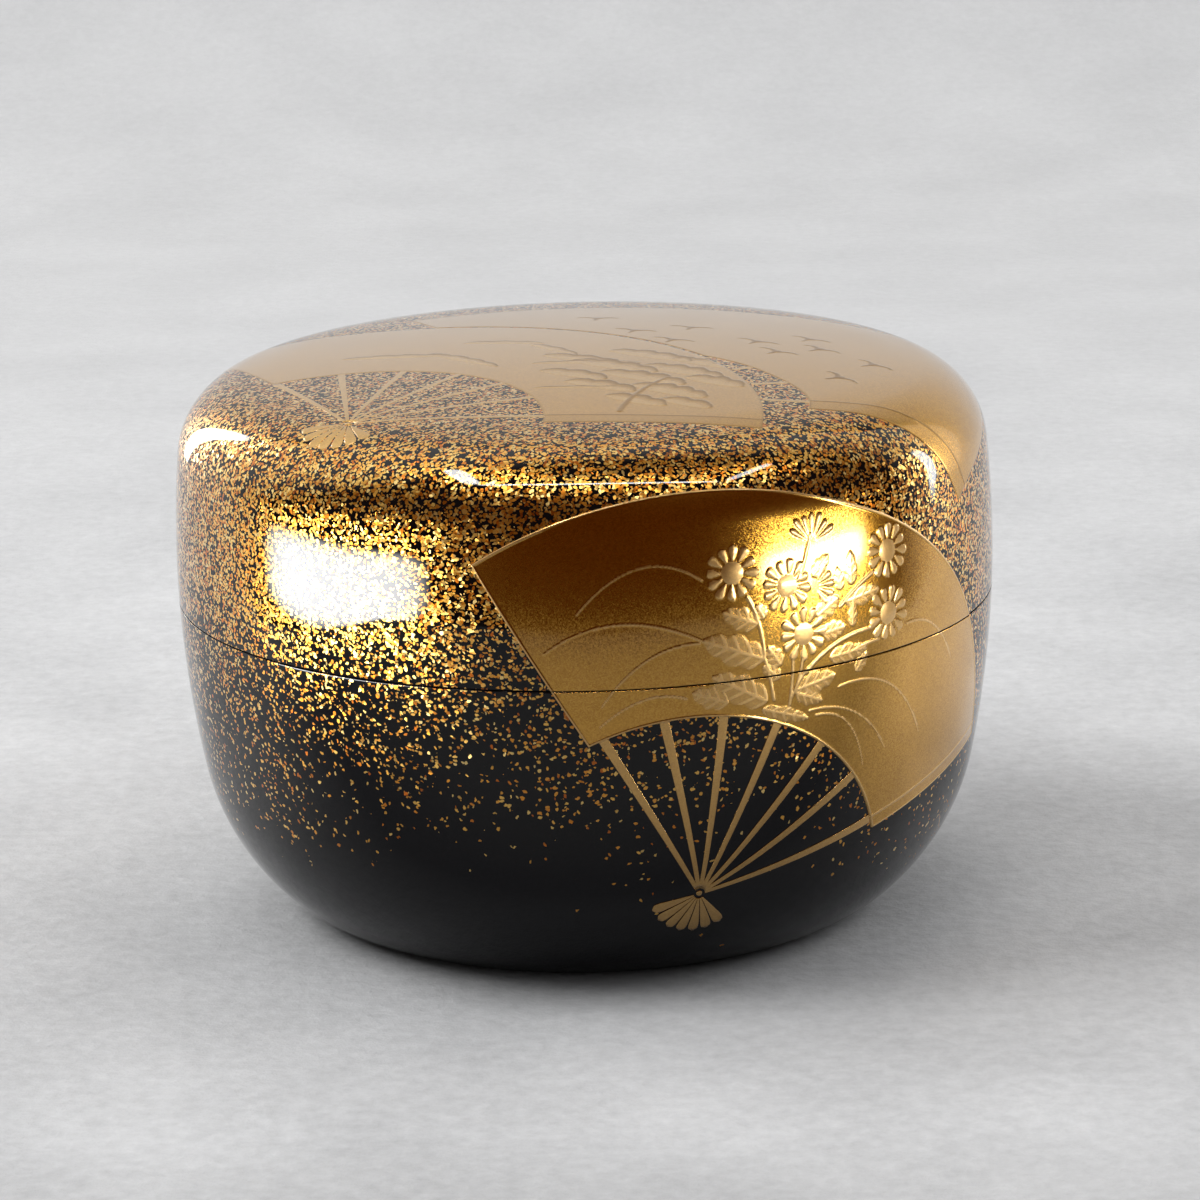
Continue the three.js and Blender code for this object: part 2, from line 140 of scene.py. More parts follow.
def lathe_tree():
    tree = new_tree("turned on a lathe", [
        ("Steps Round", "NodeSocketInt", 192),
        ("Material", "NodeSocketMaterial", None),
    ])
    given = add(tree, "NodeGroupInput")
    result = add(tree, "NodeGroupOutput")
    points = add(tree, "GeometryNodeAttributeDomainSize", {0: given.outputs["Geometry"]}).outputs[0]
    columns = math_node(tree, "ADD", given.outputs["Steps Round"], 1.0)
    grid = add(tree, "GeometryNodeMeshGrid", {"Size X": 1.0, "Size Y": 1.0, "Vertices X": columns,
                                               "Vertices Y": points})
    place = add(tree, "GeometryNodeInputPosition").outputs[0]
    parts = add(tree, "ShaderNodeSeparateXYZ", {0: place})
    share = math_node(tree, "ADD", parts.outputs["Y"], 0.5)
    last = math_node(tree, "SUBTRACT", points, 1.0)
    row = math_node(tree, "ROUND", math_node(tree, "MULTIPLY", share, last))
    sample = add(tree, "GeometryNodeSampleIndex", {"Geometry": given.outputs["Geometry"],
                                                    "Index": row}, data_type="FLOAT_VECTOR")
    tree.links.new(place, sample.inputs["Value"])
    spot = add(tree, "ShaderNodeSeparateXYZ", {0: sample.outputs["Value"]})
    angle = math_node(tree, "MULTIPLY", math_node(tree, "ADD", parts.outputs["X"], 0.5), math.tau)
    across = math_node(tree, "MULTIPLY", spot.outputs["X"], math_node(tree, "SINE", angle))
    toward = math_node(tree, "MULTIPLY", spot.outputs["X"], math_node(tree, "COSINE", angle))
    away = math_node(tree, "MULTIPLY", toward, -1.0)
    rolled = add(tree, "ShaderNodeCombineXYZ", {"X": across, "Y": away, "Z": spot.outputs["Z"]})
    moved = add(tree, "GeometryNodeSetPosition", {"Geometry": grid.outputs["Mesh"],
                                                   "Position": rolled.outputs[0]})
    closed = add(tree, "GeometryNodeMergeByDistance", {"Geometry": moved.outputs[0], "Distance": 1e-6})
    smooth = add(tree, "GeometryNodeSetShadeSmooth", {"Geometry": closed.outputs[0]})
    real = add(tree, "GeometryNodeRealizeInstances", {"Geometry": smooth.outputs[0]})
    dressed = add(tree, "GeometryNodeSetMaterial", {"Geometry": real.outputs[0],
                                                     "Material": given.outputs["Material"]})
    tree.links.new(dressed.outputs[0], result.inputs["Geometry"])
    return tree


def run_tree(name, mesh, tree, values):
    """Runs a tree on a mesh with the named inputs set, and returns the result as a plain mesh object."""
    seed = bpy.data.objects.new(name + "_seed", mesh)
    bpy.context.collection.objects.link(seed)
    modifier = seed.modifiers.new("nodes", "NODES")
    modifier.node_group = tree
    for item in tree.interface.items_tree:
        if item.in_out == "INPUT" and item.name in values:
            modifier[item.identifier] = values[item.name]
    evaluated = seed.evaluated_get(bpy.context.evaluated_depsgraph_get())
    made = bpy.data.meshes.new_from_object(evaluated)
    made.name = name
    bpy.data.objects.remove(seed)
    piece = bpy.data.objects.new(name, made)
    bpy.context.collection.objects.link(piece)
    return piece


LATHE = lathe_tree()

# %% [markdown]
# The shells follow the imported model: the lid is 1.5 mm thick and drops over a lip on the bowl, and the
# seam between them is a hairline gap. The sharp corners of the solids get small rounded edges here,
# because polished lacquer always rounds a corner and catches a line of light there.

# %% The profiles of lid and bowl
LID_WALL = 1.5
LIP_PLAY = 0.2
LIP_WALL = 1.1
LIP_HEIGHT = 6.5
BOWL_WALL = LID_WALL + LIP_PLAY + LIP_WALL
SEAM_GAP = 0.15
RIM_ROUND = 0.05
FOOT_RING_WIDTH = 2.2
FOOT_RECESS = 0.6
PROFILE_STEP = 0.5


def run_of_outline(start, end, inset, step=PROFILE_STEP):
    """Profile points between two places on the outline, moved inwards by a wall."""
    count = max(2, int(abs(end - start) / step))
    radius, height, slope = outline_at(np.linspace(start, end, count))
    radius = np.maximum(radius - inset * np.sin(slope), 0.0)
    return list(zip(radius, height - inset * np.cos(slope)))


def rounded(corners, size, steps=4):
    """A chain of points whose inner corners are replaced by small arcs."""
    points = [np.array(corners[0], float)]
    for before, corner, after in zip(corners, corners[1:], corners[2:]):
        corner = np.array(corner, float)
        arms = [np.array(p, float) - corner for p in (before, after)]
        cut = min(size, *(0.45 * np.linalg.norm(arm) for arm in arms))
        first, last = (corner + arm / np.linalg.norm(arm) * cut for arm in arms)
        for share in np.linspace(0.0, 1.0, steps):
            points.append((1 - share) ** 2 * first + 2 * share * (1 - share) * corner + share ** 2 * last)
    points.append(np.array(corners[-1], float))
    return [tuple(p) for p in points]


def seam_radius(height):
    along = np.interp(-height, -outline_at(FINE_RUN)[1], FINE_RUN)
    return float(outline_at(along)[0]), float(along)


def lid_profile():
    rim = SEAM_HEIGHT + SEAM_GAP
    radius, along = seam_radius(rim)
    inner_along = seam_radius(rim + LID_WALL)[1]
    outside = run_of_outline(0.0, along - 0.3, 0.0)
    inside = run_of_outline(inner_along, 0.0, LID_WALL)
    corners = [outside[-1], (radius, rim), (radius - LID_WALL, rim), inside[0]]
    return outside[:-1] + rounded(corners, RIM_ROUND) + inside[1:]


def bowl_profile():
    radius, along = seam_radius(SEAM_HEIGHT)
    lip_top = SEAM_HEIGHT + LIP_HEIGHT
    lip_inner = radius - BOWL_WALL
    lip_outer = lip_inner + LIP_WALL
    outside = run_of_outline(along + 0.3, OUTLINE_LENGTH, 0.0)
    inside = run_of_outline(seam_radius(SEAM_HEIGHT - BOWL_WALL)[1], OUTLINE_LENGTH, BOWL_WALL)
    lip = [inside[0], (lip_inner, lip_top), (lip_outer, lip_top), (lip_outer, SEAM_HEIGHT),
           (radius, SEAM_HEIGHT), outside[0]]
    ring_inner = FOOT_RADIUS - FOOT_RING_WIDTH
    foot = [outside[-1], (ring_inner, 0.0), (ring_inner, FOOT_RECESS), (0.0, FOOT_RECESS)]
    upward = inside[::-1]
    return [(0.0, upward[0][1])] + upward[:-1] + rounded(lip, RIM_ROUND) + outside[1:-1] + rounded(foot, 0.2)


def turned_piece(name, profile):
    """A lathe piece in metres from a profile of radius and height in millimetres."""
    mesh = bpy.data.meshes.new(name + "_profile")
    mesh.from_pydata([(r * MM, 0.0, z * MM) for r, z in profile], [], [])
    piece = run_tree(name, mesh, LATHE, {"Steps Round": 224})
    work = bmesh.new()
    work.from_mesh(piece.data)
    bmesh.ops.recalc_face_normals(work, faces=work.faces)
    work.to_mesh(piece.data)
    work.free()
    print(name, len(profile), "rows,", len(piece.data.polygons), "faces")
    return piece


lid_lacquer = turned_piece("lid_lacquer", lid_profile())
bowl_lacquer = turned_piece("bowl_lacquer", bowl_profile())

# %% [markdown]
# A fan is drawn flat, in millimetres round its pivot, and then laid on the caddy, the way a lacquerer
# transfers a paper drawing. On the side the drawing is wrapped round like a label. On the crown the
# distances from the middle are kept, so the drawing bends over the shoulder without creases.

# %% Laying a flat drawing on the caddy
FRONT_FAN_AZIMUTH = 15.6
FRONT_FAN_BELOW_SEAM = 21.9
LEFT_FAN_PIVOT = (-22.3, -25.2)
RIGHT_FAN_PIVOT = (1.0, -21.2)


def on_surface(along, bearing, raise_by):
    """Points in metres above the caddy's surface."""
    radius, height, slope = outline_at(along)
    radius = radius + raise_by * np.sin(slope)
    height = height + raise_by * np.cos(slope)
    return np.stack([radius * np.sin(bearing), -radius * np.cos(bearing), height], axis=-1) * MM


def side_place(azimuth, below_seam):
    def place(x, y, raise_by):
        bearing = math.radians(azimuth) + x / WIDEST_RADIUS
        return on_surface(SEAM_ALONG + below_seam - y, bearing, raise_by)
    return place


def crown_place(pivot):
    def place(x, y, raise_by):
        across, up = pivot[0] + x, pivot[1] + y
        return on_surface(np.hypot(across, up), np.arctan2(across, -up), raise_by)
    return place


# %% [markdown]
# Drawn by hand, the fans are not perfect sectors. Their straight edges miss the pivot by a little, as
# the end sticks of a folded fan do, and their arcs open out towards the ends. Each fan keeps the turn
# of its two edges, how far each edge passes from the pivot, and how its two arcs grow.

# %% The three fans


def eased(value):
    value = np.clip(value, 0.0, 1.0)
    return value * value * (3.0 - 2.0 * value)


def front_inner(turn):
    return 18.55 + 1.3 * ((np.degrees(turn) - 15.0) / 50.0) ** 2


def front_outer(turn):
    return 40.5 + 1.8 * eased((np.degrees(turn) - 15.0) / 40.0)


def left_inner(turn):
    return 17.5 + 1.3 * ((np.degrees(turn) - 38.0) / 60.0) ** 2


def left_outer(turn):
    return 39.9 + 0.0 * turn


def right_inner(turn):
    return 19.6 + 1.4 * eased((np.degrees(turn) - 60.0) / 36.0)


def right_outer(turn):
    return 46.0 - 4.3 * eased((np.degrees(turn) - 55.0) / 35.0)


# The border and fold tones are painted light: above nought a painted highlight, below nought painted shade.
FANS = {
    "front": {"place": side_place(FRONT_FAN_AZIMUTH, FRONT_FAN_BELOW_SEAM), "inner": front_inner,
              "outer": front_outer, "left": (-31.5, 1.07), "right": (77.9, 0.76), "raise": 0.13,
              "sticks": (-30.0, 76.5), "tail": 5.2, "tail_turns": (-35.0, 71.0), "fold": 1.5,
              "stick_widths": (0.42, 1.0), "stick_drop": 0.25, "guard_tone": 0.0, "border": 0.045,
              "border_tone": 0.6, "fold_tone": 0.6, "edge": 0.12, "edge_shape": 0.5},
    "left": {"place": crown_place(LEFT_FAN_PIVOT), "inner": left_inner, "outer": left_outer,
             "left": (-22.8, 1.1), "right": (93.4, 3.0), "raise": 0.024, "sticks": (-24.8, 96.0),
             "tail": 4.6, "tail_turns": (-24.8, 96.0), "fold": 2.4, "stick_widths": (0.34, 0.8),
             "stick_drop": 1.4, "guard_tone": 0.15, "border": 0.01, "border_tone": -0.45, "fold_tone": -0.9,
             "edge": 0.4, "edge_shape": 1.0},
    "right": {"place": crown_place(RIGHT_FAN_PIVOT), "inner": right_inner, "outer": right_outer,
              "left": (-22.8, 1.1), "right": (84.3, 5.1), "raise": 0.024, "sticks": (-23.0, 92.0),
              "tail": 0.0, "fold": 2.6, "stick_widths": (0.34, 0.8), "stick_drop": 1.4,
              "guard_tone": 0.1, "border": 0.02, "border_tone": -0.45, "fold_tone": -0.9, "edge": 0.3,
              "edge_shape": 1.0},
}

# %% [markdown]
# The pictures on the leaves are low relief: petals and leaves are modelled in charcoal and lacquer paste
# before the gold goes on, and stems and grasses are drawn over with a raised line. Separate little meshes
# would leave hard joins, so each leaf is one fine sheet, and a height is worked out for every point of it.
# The helpers below each press one kind of mark into the sheet's heights.

# %% Marks for low relief


class Relief:
    """A field of heights over flat points, into which marks are pressed one by one. Each mark also carries a
    tone that is painted light: above nought a painted highlight, below nought painted shade.
    """

    def __init__(self, x, y):
        self.x, self.y = x, y
        self.height = np.zeros_like(x)
        self.tone = np.zeros_like(x)

    def near(self, centre, reach):
        return np.nonzero(np.hypot(self.x - centre[0], self.y - centre[1]) < reach)[0]

    def raise_to(self, where, height, tone):
        higher = height > self.height[where] + 1e-4
        self.height[where] = np.maximum(self.height[where], height)
        self.tone[where] = np.where(higher & (tone != 0.0), tone, self.tone[where])

    def line(self, points, width, rise, taper=0.65, tone=1.0):
        """A raised round line through a smooth curve of three control points."""
        share = np.linspace(0.0, 1.0, 40)[:, None]
        a, b, c = (np.array(p, float) for p in points)
        curve = (1 - share) ** 2 * a + 2 * share * (1 - share) * b + share ** 2 * c
        middle = curve.mean(axis=0)
        reach = np.hypot(*(curve - middle).T).max() + width
        where = self.near(middle, reach)
        px, py = self.x[where], self.y[where]
        best = np.full(len(where), 1e9)
        at = np.zeros(len(where))
        for k in range(len(curve) - 1):
            way = curve[k + 1] - curve[k]
            t = ((px - curve[k, 0]) * way[0] + (py - curve[k, 1]) * way[1]) / (way @ way)
            t = np.clip(t, 0.0, 1.0)
            gap = np.hypot(px - curve[k, 0] - t * way[0], py - curve[k, 1] - t * way[1])
            closer = gap < best
            best = np.where(closer, gap, best)
            at = np.where(closer, (k + t) / (len(curve) - 1), at)
        half = 0.5 * width * (1.0 - taper * at)
        body = np.sqrt(np.clip(1.0 - (best / half) ** 2, 0.0, 1.0))
        self.raise_to(where, self.height[where] * 0.35 + rise * body * (body > 0), tone * (body > 0))

    def petals(self, centre, radius, count, turn, rise, first=0.4, arc=None):
        """A ring of drop-shaped petals, or an arc of them for a flower seen from its side."""
        where = self.near(centre, radius * 1.1)
        dx, dy = self.x[where] - centre[0], self.y[where] - centre[1]
        distance = np.hypot(dx, dy)
        angle = np.arctan2(dx, dy) - math.radians(turn)
        step = math.tau / count if arc is None else math.radians(arc) / (count - 1)
        index = np.round(angle / step)
        if arc is not None:
            angle = (angle + math.pi) % math.tau - math.pi
            index = np.clip(np.round(angle / step), -(count - 1) / 2, (count - 1) / 2)
        off = angle - index * step
        length = radius * (1.0 + 0.05 * np.sin(2.3 * index))
        along = distance * np.cos(off) / length
        across = distance * np.abs(np.sin(off)) / length
        t = np.clip((along - first) / (1.0 - first), 0.0, 1.0)
        half = 0.9 * math.tan(0.5 * step) * along * t ** 0.4 * np.sqrt(np.clip(1.0 - t ** 5, 0.0, 1.0))
        inside = (np.cos(off) > 0) & (half > 1e-6) & (across < half)
        body = np.where(inside, np.clip(1.0 - (across / np.maximum(half, 1e-6)) ** 2, 0, 1) ** 0.8, 0.0)
        self.raise_to(where, rise * body * (0.55 + 0.45 * t), 0.5 * inside)

    def dome(self, centre, radius, rise, tone=0.5):
        where = self.near(centre, radius)
        share = np.hypot(self.x[where] - centre[0], self.y[where] - centre[1]) / radius
        self.raise_to(where, rise * np.clip(1.0 - share ** 2.5, 0, 1), tone * np.ones_like(share))

    def blossom(self, centre, radius, turn=0.0, rise=0.05):
        self.petals(centre, radius, 12, turn, rise, 0.44)
        self.dome(centre, radius * 0.43, rise * 1.05)

    def leaf(self, centre, length, width, turn, rise=0.035, lobes=3.0):
        """A lobed leaf with a raised midrib and slanting side veins."""
        where = self.near(centre, length * 0.75)
        s, c = math.sin(math.radians(turn)), math.cos(math.radians(turn))
        dx, dy = self.x[where] - centre[0], self.y[where] - centre[1]
        p = (dx * s + dy * c) / length + 0.5
        q = (dx * c - dy * s)
        inside = (p > 0) & (p < 1)
        pc = np.clip(p, 1e-4, 1 - 1e-4)
        edge = 0.5 * width * np.sin(math.pi * pc ** 0.8) ** 0.6
        edge = edge * (0.8 + 0.28 * np.abs(np.sin(math.pi * lobes * pc)))
        inside &= np.abs(q) < edge
        body = np.where(inside, np.clip(1.0 - (np.abs(q) / edge) ** 3, 0, 1) ** 0.5, 0.0)
        midrib = np.exp(-(q / (0.035 * width + 0.05)) ** 2)
        phase = (pc * length - np.abs(q) * 0.9) / (0.15 * length + 0.36)
        veins = np.exp(-(((phase - np.round(phase)) / 0.14) ** 2)) * (np.abs(q) > 0.05)
        height = rise * (0.62 * body + 0.38 * midrib * body + 0.18 * veins * body)
        self.raise_to(where, height, np.where(inside, 0.28 + 0.3 * np.maximum(midrib, veins), 0.0))

    def scallop(self, centre, half_width, half_height, rise, lobes=4, turn=0.0, tone=-0.8):
        """A low cloud or rock: a flat mound whose upper edge is a row of lobes."""
        where = self.near(centre, 1.3 * max(half_width, half_height))
        s, c = math.sin(math.radians(turn)), math.cos(math.radians(turn))
        dx, dy = self.x[where] - centre[0], self.y[where] - centre[1]
        u = (dx * c + dy * s) / half_width
        v = (dy * c - dx * s) / half_height
        top = np.sqrt(np.clip(1.0 - u ** 2, 0, 1)) * (0.72 + 0.28 * np.abs(np.sin(lobes * 1.571 * (u + 1.0))))
        inside = (np.abs(u) < 1) & (v < top) & (v > -0.45 * np.sqrt(np.clip(1.0 - u ** 2, 0, 1)))
        fall = np.clip((v + 0.45) / (np.maximum(top, 0.05) + 0.45), 0, 1)
        # The upper rim is toned dark, a painted shade, and the inside pale, a painted highlight.
        rim = np.clip((fall - 0.4) / 0.5, 0.0, 1.0)
        shade = tone * rim + 0.4 * (1.0 - rim)
        self.raise_to(where, np.where(inside, rise * (0.25 + 0.75 * fall ** 2), 0.0), shade * inside)

    def bird(self, centre, span, turn, rise=0.03):
        """A small bird in flight: two bent wings and a short body."""
        s, c = math.sin(math.radians(turn)), math.cos(math.radians(turn))

        def spot(u, v):
            return (centre[0] + span * (u * c + v * s), centre[1] + span * (v * c - u * s))

        # The wings and the body are toned dark: painted shade.
        for wing in (0.62, -0.62):
            tip = spot(wing, 0.16)
            self.line([spot(0.0, 0.0), spot(0.45 * wing, 0.34), tip], 0.6, rise, 0.6, tone=-0.8)
        self.line([spot(0.0, 0.16), spot(0.0, -0.05), spot(0.0, -0.3)], 0.6, rise, 0.5, tone=-0.8)


# %% [markdown]
# The front fan shows chrysanthemums over autumn grasses, a usual pair on such caddies. The stems rise from
# one root low on the leaf, and long blades of grass bow out to both sides. Places are in millimetres from
# the pivot, across and up.

# %% The front fan's picture
BLOSSOMS = [((2.8, 32.4), 2.6, 4), ((8.4, 30.5), 2.55, 11), ((10.1, 25.6), 2.5, 0), ((20.7, 31.9), 2.65, 7),
            ((20.6, 25.8), 2.65, 14)]
FOLIAGE = [((3.5, 28.0), 3.8, 2.2, -67), ((2.8, 25.0), 6.6, 3.0, -68), ((6.9, 23.9), 2.4, 1.8, -37),
           ((6.6, 22.4), 2.3, 1.5, -53), ((3.4, 21.1), 6.4, 2.9, -61), ((0.4, 20.6), 3.8, 2.2, -70),
           ((15.4, 22.9), 4.6, 1.9, 87), ((11.4, 20.6), 4.8, 2.4, 80), ((10.8, 19.3), 3.2, 1.7, 112),
           ((8.2, 18.0), 5.4, 1.5, 108), ((17.2, 28.2), 4.4, 1.8, 82), ((12.9, 27.8), 3.0, 2.0, 60),
           ((13.6, 25.4), 2.7, 1.9, 84), ((15.9, 26.7), 2.6, 1.1, 3), ((15.8, 31.1), 3.2, 1.5, 0),
           ((14.3, 30.3), 2.2, 1.2, -10), ((5.5, 28.4), 1.6, 1.4, -32), ((17.0, 21.7), 2.2, 1.3, 40),
           ((12.2, 31.9), 2.6, 1.5, 48)]
STEMS = [[(5.9, 23.6), (5.8, 27.2), (4.2, 30.0)], [(6.9, 19.6), (6.6, 21.6), (5.9, 23.8)],
         [(14.4, 27.6), (16.3, 29.2), (18.6, 30.2)], [(10.4, 21.8), (13.4, 24.8), (18.3, 24.8)],
         [(15.3, 22.8), (17.1, 23.4), (19.2, 23.5)], [(8.6, 18.9), (9.0, 21.9), (8.9, 23.6)],
         [(9.1, 20.0), (9.9, 22.0), (10.0, 23.4)], [(9.7, 31.0), (10.7, 33.2), (11.2, 35.0)],
         [(8.8, 19.6), (9.4, 21.0), (10.6, 22.2)]]
GRASSES = [[(-0.2, 32.0), (-6.2, 36.4), (-12.1, 29.4)], [(0.0, 26.0), (-8.6, 30.8), (-15.2, 25.6)],
           [(-0.6, 26.0), (-6.0, 26.2), (-9.9, 20.4)], [(-1.9, 20.7), (-5.8, 22.2), (-10.1, 18.4)],
           [(23.4, 24.2), (28.2, 24.6), (31.5, 18.9)], [(14.2, 19.7), (21.6, 21.2), (26.2, 12.6)],
           [(10.8, 17.9), (17.0, 18.4), (20.8, 12.2)], [(11.6, 17.3), (16.2, 17.6), (17.9, 11.0)]]
SIDE_BLOSSOM = (11.3, 34.2)
HIDDEN_BLOSSOM = (11.4, 30.0)


def front_picture(relief):
    # Every mark of this picture is toned pale: a painted highlight on the raised gold.
    for points in GRASSES:
        relief.line(points, 0.24, 0.02, 0.4, tone=0.5)
    for points in STEMS:
        relief.line(points, 0.34, 0.035, 0.2, tone=0.5)
    for centre, length, width, turn in FOLIAGE:
        relief.leaf(centre, length, width, turn)
    relief.petals(HIDDEN_BLOSSOM, 2.3, 5, 88, 0.045, 0.3, arc=110)
    for centre, radius, turn in BLOSSOMS:
        relief.blossom(centre, radius, turn)
    relief.petals(SIDE_BLOSSOM, 2.8, 7, 4, 0.055, 0.2, arc=120)


# %% [markdown]
# The crown's fans are quieter. The left one has drifting cloud and a knot of pine over rocks, and the
# right one a flight of small birds. From the front they are seen at a very flat angle, so only their
# broad shapes count, but they are also looked at from above.

# %% The crown fans' pictures
PINE_ROWS = [((22.5, 18.6), 4.6, 1.5, 3), ((29.3, 20.0), 4.8, 1.6, 4), ((34.3, 16.9), 3.4, 1.5, 3),
             ((25.6, 15.6), 5.0, 1.7, 4), ((32.3, 13.4), 4.6, 1.8, 4), ((21.6, 12.4), 3.8, 1.5, 3),
             ((28.4, 10.8), 4.8, 1.8, 4), ((35.4, 9.4), 3.2, 1.7, 3), ((24.2, 7.9), 4.0, 1.6, 3),
             ((30.9, 5.9), 4.2, 1.8, 4), ((27.6, 2.6), 3.4, 1.5, 3), ((32.4, 1.6), 2.8, 1.4, 2)]
CLOUDS = [((3.5, 24.2), 5.5, 0.9, 4, -12), ((10.6, 20.6), 5.2, 0.9, 4, -48), ((14.6, 27.9), 4.2, 0.9, 3, -14),
          ((19.6, 23.6), 3.8, 0.9, 3, -52), ((23.0, 17.2), 5.4, 0.8, 4, -4), ((22.4, 7.4), 4.6, 0.5, 3, -4)]
BIRDS = [((0.8, 36.9), 3.4, 10), ((4.5, 28.8), 3.6, 24), ((10.4, 30.7), 3.6, 18), ((8.3, 23.6), 3.6, 30),
         ((16.8, 23.5), 3.8, 34), ((18.6, 18.8), 3.8, 40), ((22.3, 25.9), 3.6, 36), ((23.0, 20.9), 3.8, 44),
         ((24.2, 8.7), 4.0, 58), ((28.0, 15.0), 3.8, 50)]


def left_picture(relief):
    for centre, half_width, half_height, lobes, turn in CLOUDS:
        relief.scallop(centre, half_width, half_height * 1.3, 0.03, lobes, turn)
    for centre, half_width, half_height, lobes in PINE_ROWS:
        relief.scallop(centre, half_width, half_height * 1.35, 0.045, lobes, turn=-32)
    # This line is toned dark: painted shade.
    relief.line([(26.0, -1.0), (27.5, 6.0), (31.0, 11.0)], 0.6, 0.05, 0.3, tone=-0.6)


def right_picture(relief):
    for centre, span, turn in BIRDS:
        relief.bird(centre, span, turn)


# %% [markdown]
# A fan's leaf is a thin plate of gold with a fine raised border and the folded end sticks marked along
# its two straight edges. Its top is a polar grid of points a tenth of a millimetre apart. The underside
# is a row of long faces that cut through the wood, out of sight, which closes the plate cheaply.

# %% Making a fan's leaf
LEAF_ROOT = 0.05
BORDER_WIDTH = 0.32
FAN_GAP = 0.08


def polar(distance, turn):
    return distance * np.sin(turn), distance * np.cos(turn)


def shows_from(fan, turns):
    """Where a fan tucked under another comes out from under it, along each turn from its pivot."""
    if "under" not in fan:
        return np.zeros_like(turns)
    over = fan["under"]
    dx, dy = fan["pivot"][0] - over["pivot"][0], fan["pivot"][1] - over["pivot"][1]
    reach = float(over["outer"](0.0)) + FAN_GAP
    half = dx * np.sin(turns) + dy * np.cos(turns)
    return -half + np.sqrt(half ** 2 + reach ** 2 - dx ** 2 - dy ** 2)


FANS["left"]["pivot"] = LEFT_FAN_PIVOT
FANS["right"]["pivot"] = RIGHT_FAN_PIVOT
FANS["right"]["under"] = FANS["left"]


def leaf_grid(fan, columns, rows):
    """Distances and turns of a leaf's points, whose straight edges pass beside the pivot."""
    ends = [math.radians(fan["left"][0]), math.radians(fan["right"][0])]
    share = np.linspace(0.0, 1.0, rows)[None, :]
    across = np.linspace(0.0, 1.0, columns)[:, None]
    turn = ends[0] + (ends[1] - ends[0]) * across + 0.0 * share
    for _ in range(4):
        inner = np.minimum(np.maximum(fan["inner"](turn), shows_from(fan, turn)), fan["outer"](turn) - 0.3)
        distance = inner + (fan["outer"](turn) - inner) * share
        first = ends[0] - np.arcsin(fan["left"][1] / distance)
        last = ends[1] + np.arcsin(fan["right"][1] / distance)
        turn = first + (last - first) * across
    return distance, turn


def edge_gap(x, y, direction, offset, side):
    """How far points are inside a leaf's straight edge."""
    angle = math.radians(direction)
    return offset - side * (x * math.cos(angle) - y * math.sin(angle))


def leaf_sheet(name, fan, picture, columns, rows):
    """The closed, laid mesh of a fan's leaf with its picture in relief, as an object."""
    distance, turn = leaf_grid(fan, columns, rows)
    x, y = polar(distance, turn)
    relief = Relief(x.ravel(), y.ravel())
    picture(relief)
    inner = np.maximum(fan["inner"](turn), shows_from(fan, turn))
    left_gap = edge_gap(x, y, *fan["left"], -1.0)
    right_gap = edge_gap(x, y, *fan["right"], 1.0)
    from_edge = np.minimum(np.minimum(distance - inner, fan["outer"](turn) - distance),
                           np.minimum(left_gap, right_gap))
    border = np.clip(1.0 - (from_edge / BORDER_WIDTH - 0.5) ** 2 * 4.0, 0, 1)
    fold = np.exp(-((right_gap - fan["fold"]) / 0.12) ** 2)
    marks = np.maximum(border, fold)
    height = np.maximum(relief.height.reshape(x.shape), fan["border"] * marks)
    # The border and fold lines are toned as painted light: a painted highlight on the front fan and painted
    # shade on the crown fans. The crown's guard strip has its tone lowered, towards painted shade.
    tone = relief.tone.reshape(x.shape)
    tone = np.where(marks > np.abs(tone), fan["border_tone"] * border, tone)
    tone = np.where(fold > 0.3, fan["fold_tone"] * fold, tone)
    tone = np.where(right_gap < fan["fold"], tone - fan["guard_tone"], tone)
    rounding = np.clip(from_edge / fan["edge"], 0.0, 1.0) ** fan["edge_shape"]
    top = fan["place"](x, y, (fan["raise"] + height) * rounding - 0.02 * (1.0 - rounding)).reshape(-1, 3)
    low = fan["place"](x[:, [0, -1]], y[:, [0, -1]], -LEAF_ROOT).reshape(-1, 3)
    number = np.arange(columns * rows).reshape(columns, rows)
    under = columns * rows + np.arange(columns * 2).reshape(columns, 2)
    quads = np.stack([number[:-1, :-1], number[1:, :-1], number[1:, 1:], number[:-1, 1:]], -1)
    walls = [np.stack([under[:-1, 0], under[1:, 0], number[1:, 0], number[:-1, 0]], -1),
             np.stack([number[:-1, -1], number[1:, -1], under[1:, 1], under[:-1, 1]], -1),
             np.stack([under[:-1, 1], under[1:, 1], under[1:, 0], under[:-1, 0]], -1)]
    faces = quads.reshape(-1, 4).tolist() + [f for wall in walls for f in wall.tolist()]
    faces.append(number[0].tolist() + [int(under[0, 1]), int(under[0, 0])])
    faces.append([int(under[-1, 0]), int(under[-1, 1])] + number[-1, ::-1].tolist())
    mesh = bpy.data.meshes.new(name)
    mesh.from_pydata(np.concatenate([top, low]).tolist(), [], faces)
    layer = mesh.attributes.new("relief", "FLOAT", "POINT")
    layer.data.foreach_set("value", np.concatenate([tone.ravel(), np.zeros(columns * 2)]))
    mesh.shade_smooth()
    piece = bpy.data.objects.new(name, mesh)
    bpy.context.collection.objects.link(piece)
    return piece


def keep_side(piece, name, height, above):
    """A copy of a closed piece, cut level at a height and closed there, keeping one side."""
    work = bmesh.new()
    work.from_mesh(piece.data)
    cut = bmesh.ops.bisect_plane(work, geom=work.verts[:] + work.edges[:] + work.faces[:], dist=1e-7,
                                 plane_co=(0, 0, height * MM), plane_no=(0, 0, 1),
                                 clear_inner=above, clear_outer=not above)
    edges = [item for item in cut["geom_cut"] if isinstance(item, bmesh.types.BMEdge)]
    bmesh.ops.edgeloop_fill(work, edges=[e for e in edges if e.is_boundary])
    mesh = bpy.data.meshes.new(name)
    work.to_mesh(mesh)
    work.free()
    kept = bpy.data.objects.new(name, mesh)
    bpy.context.collection.objects.link(kept)
    return kept


FINE = 1.0

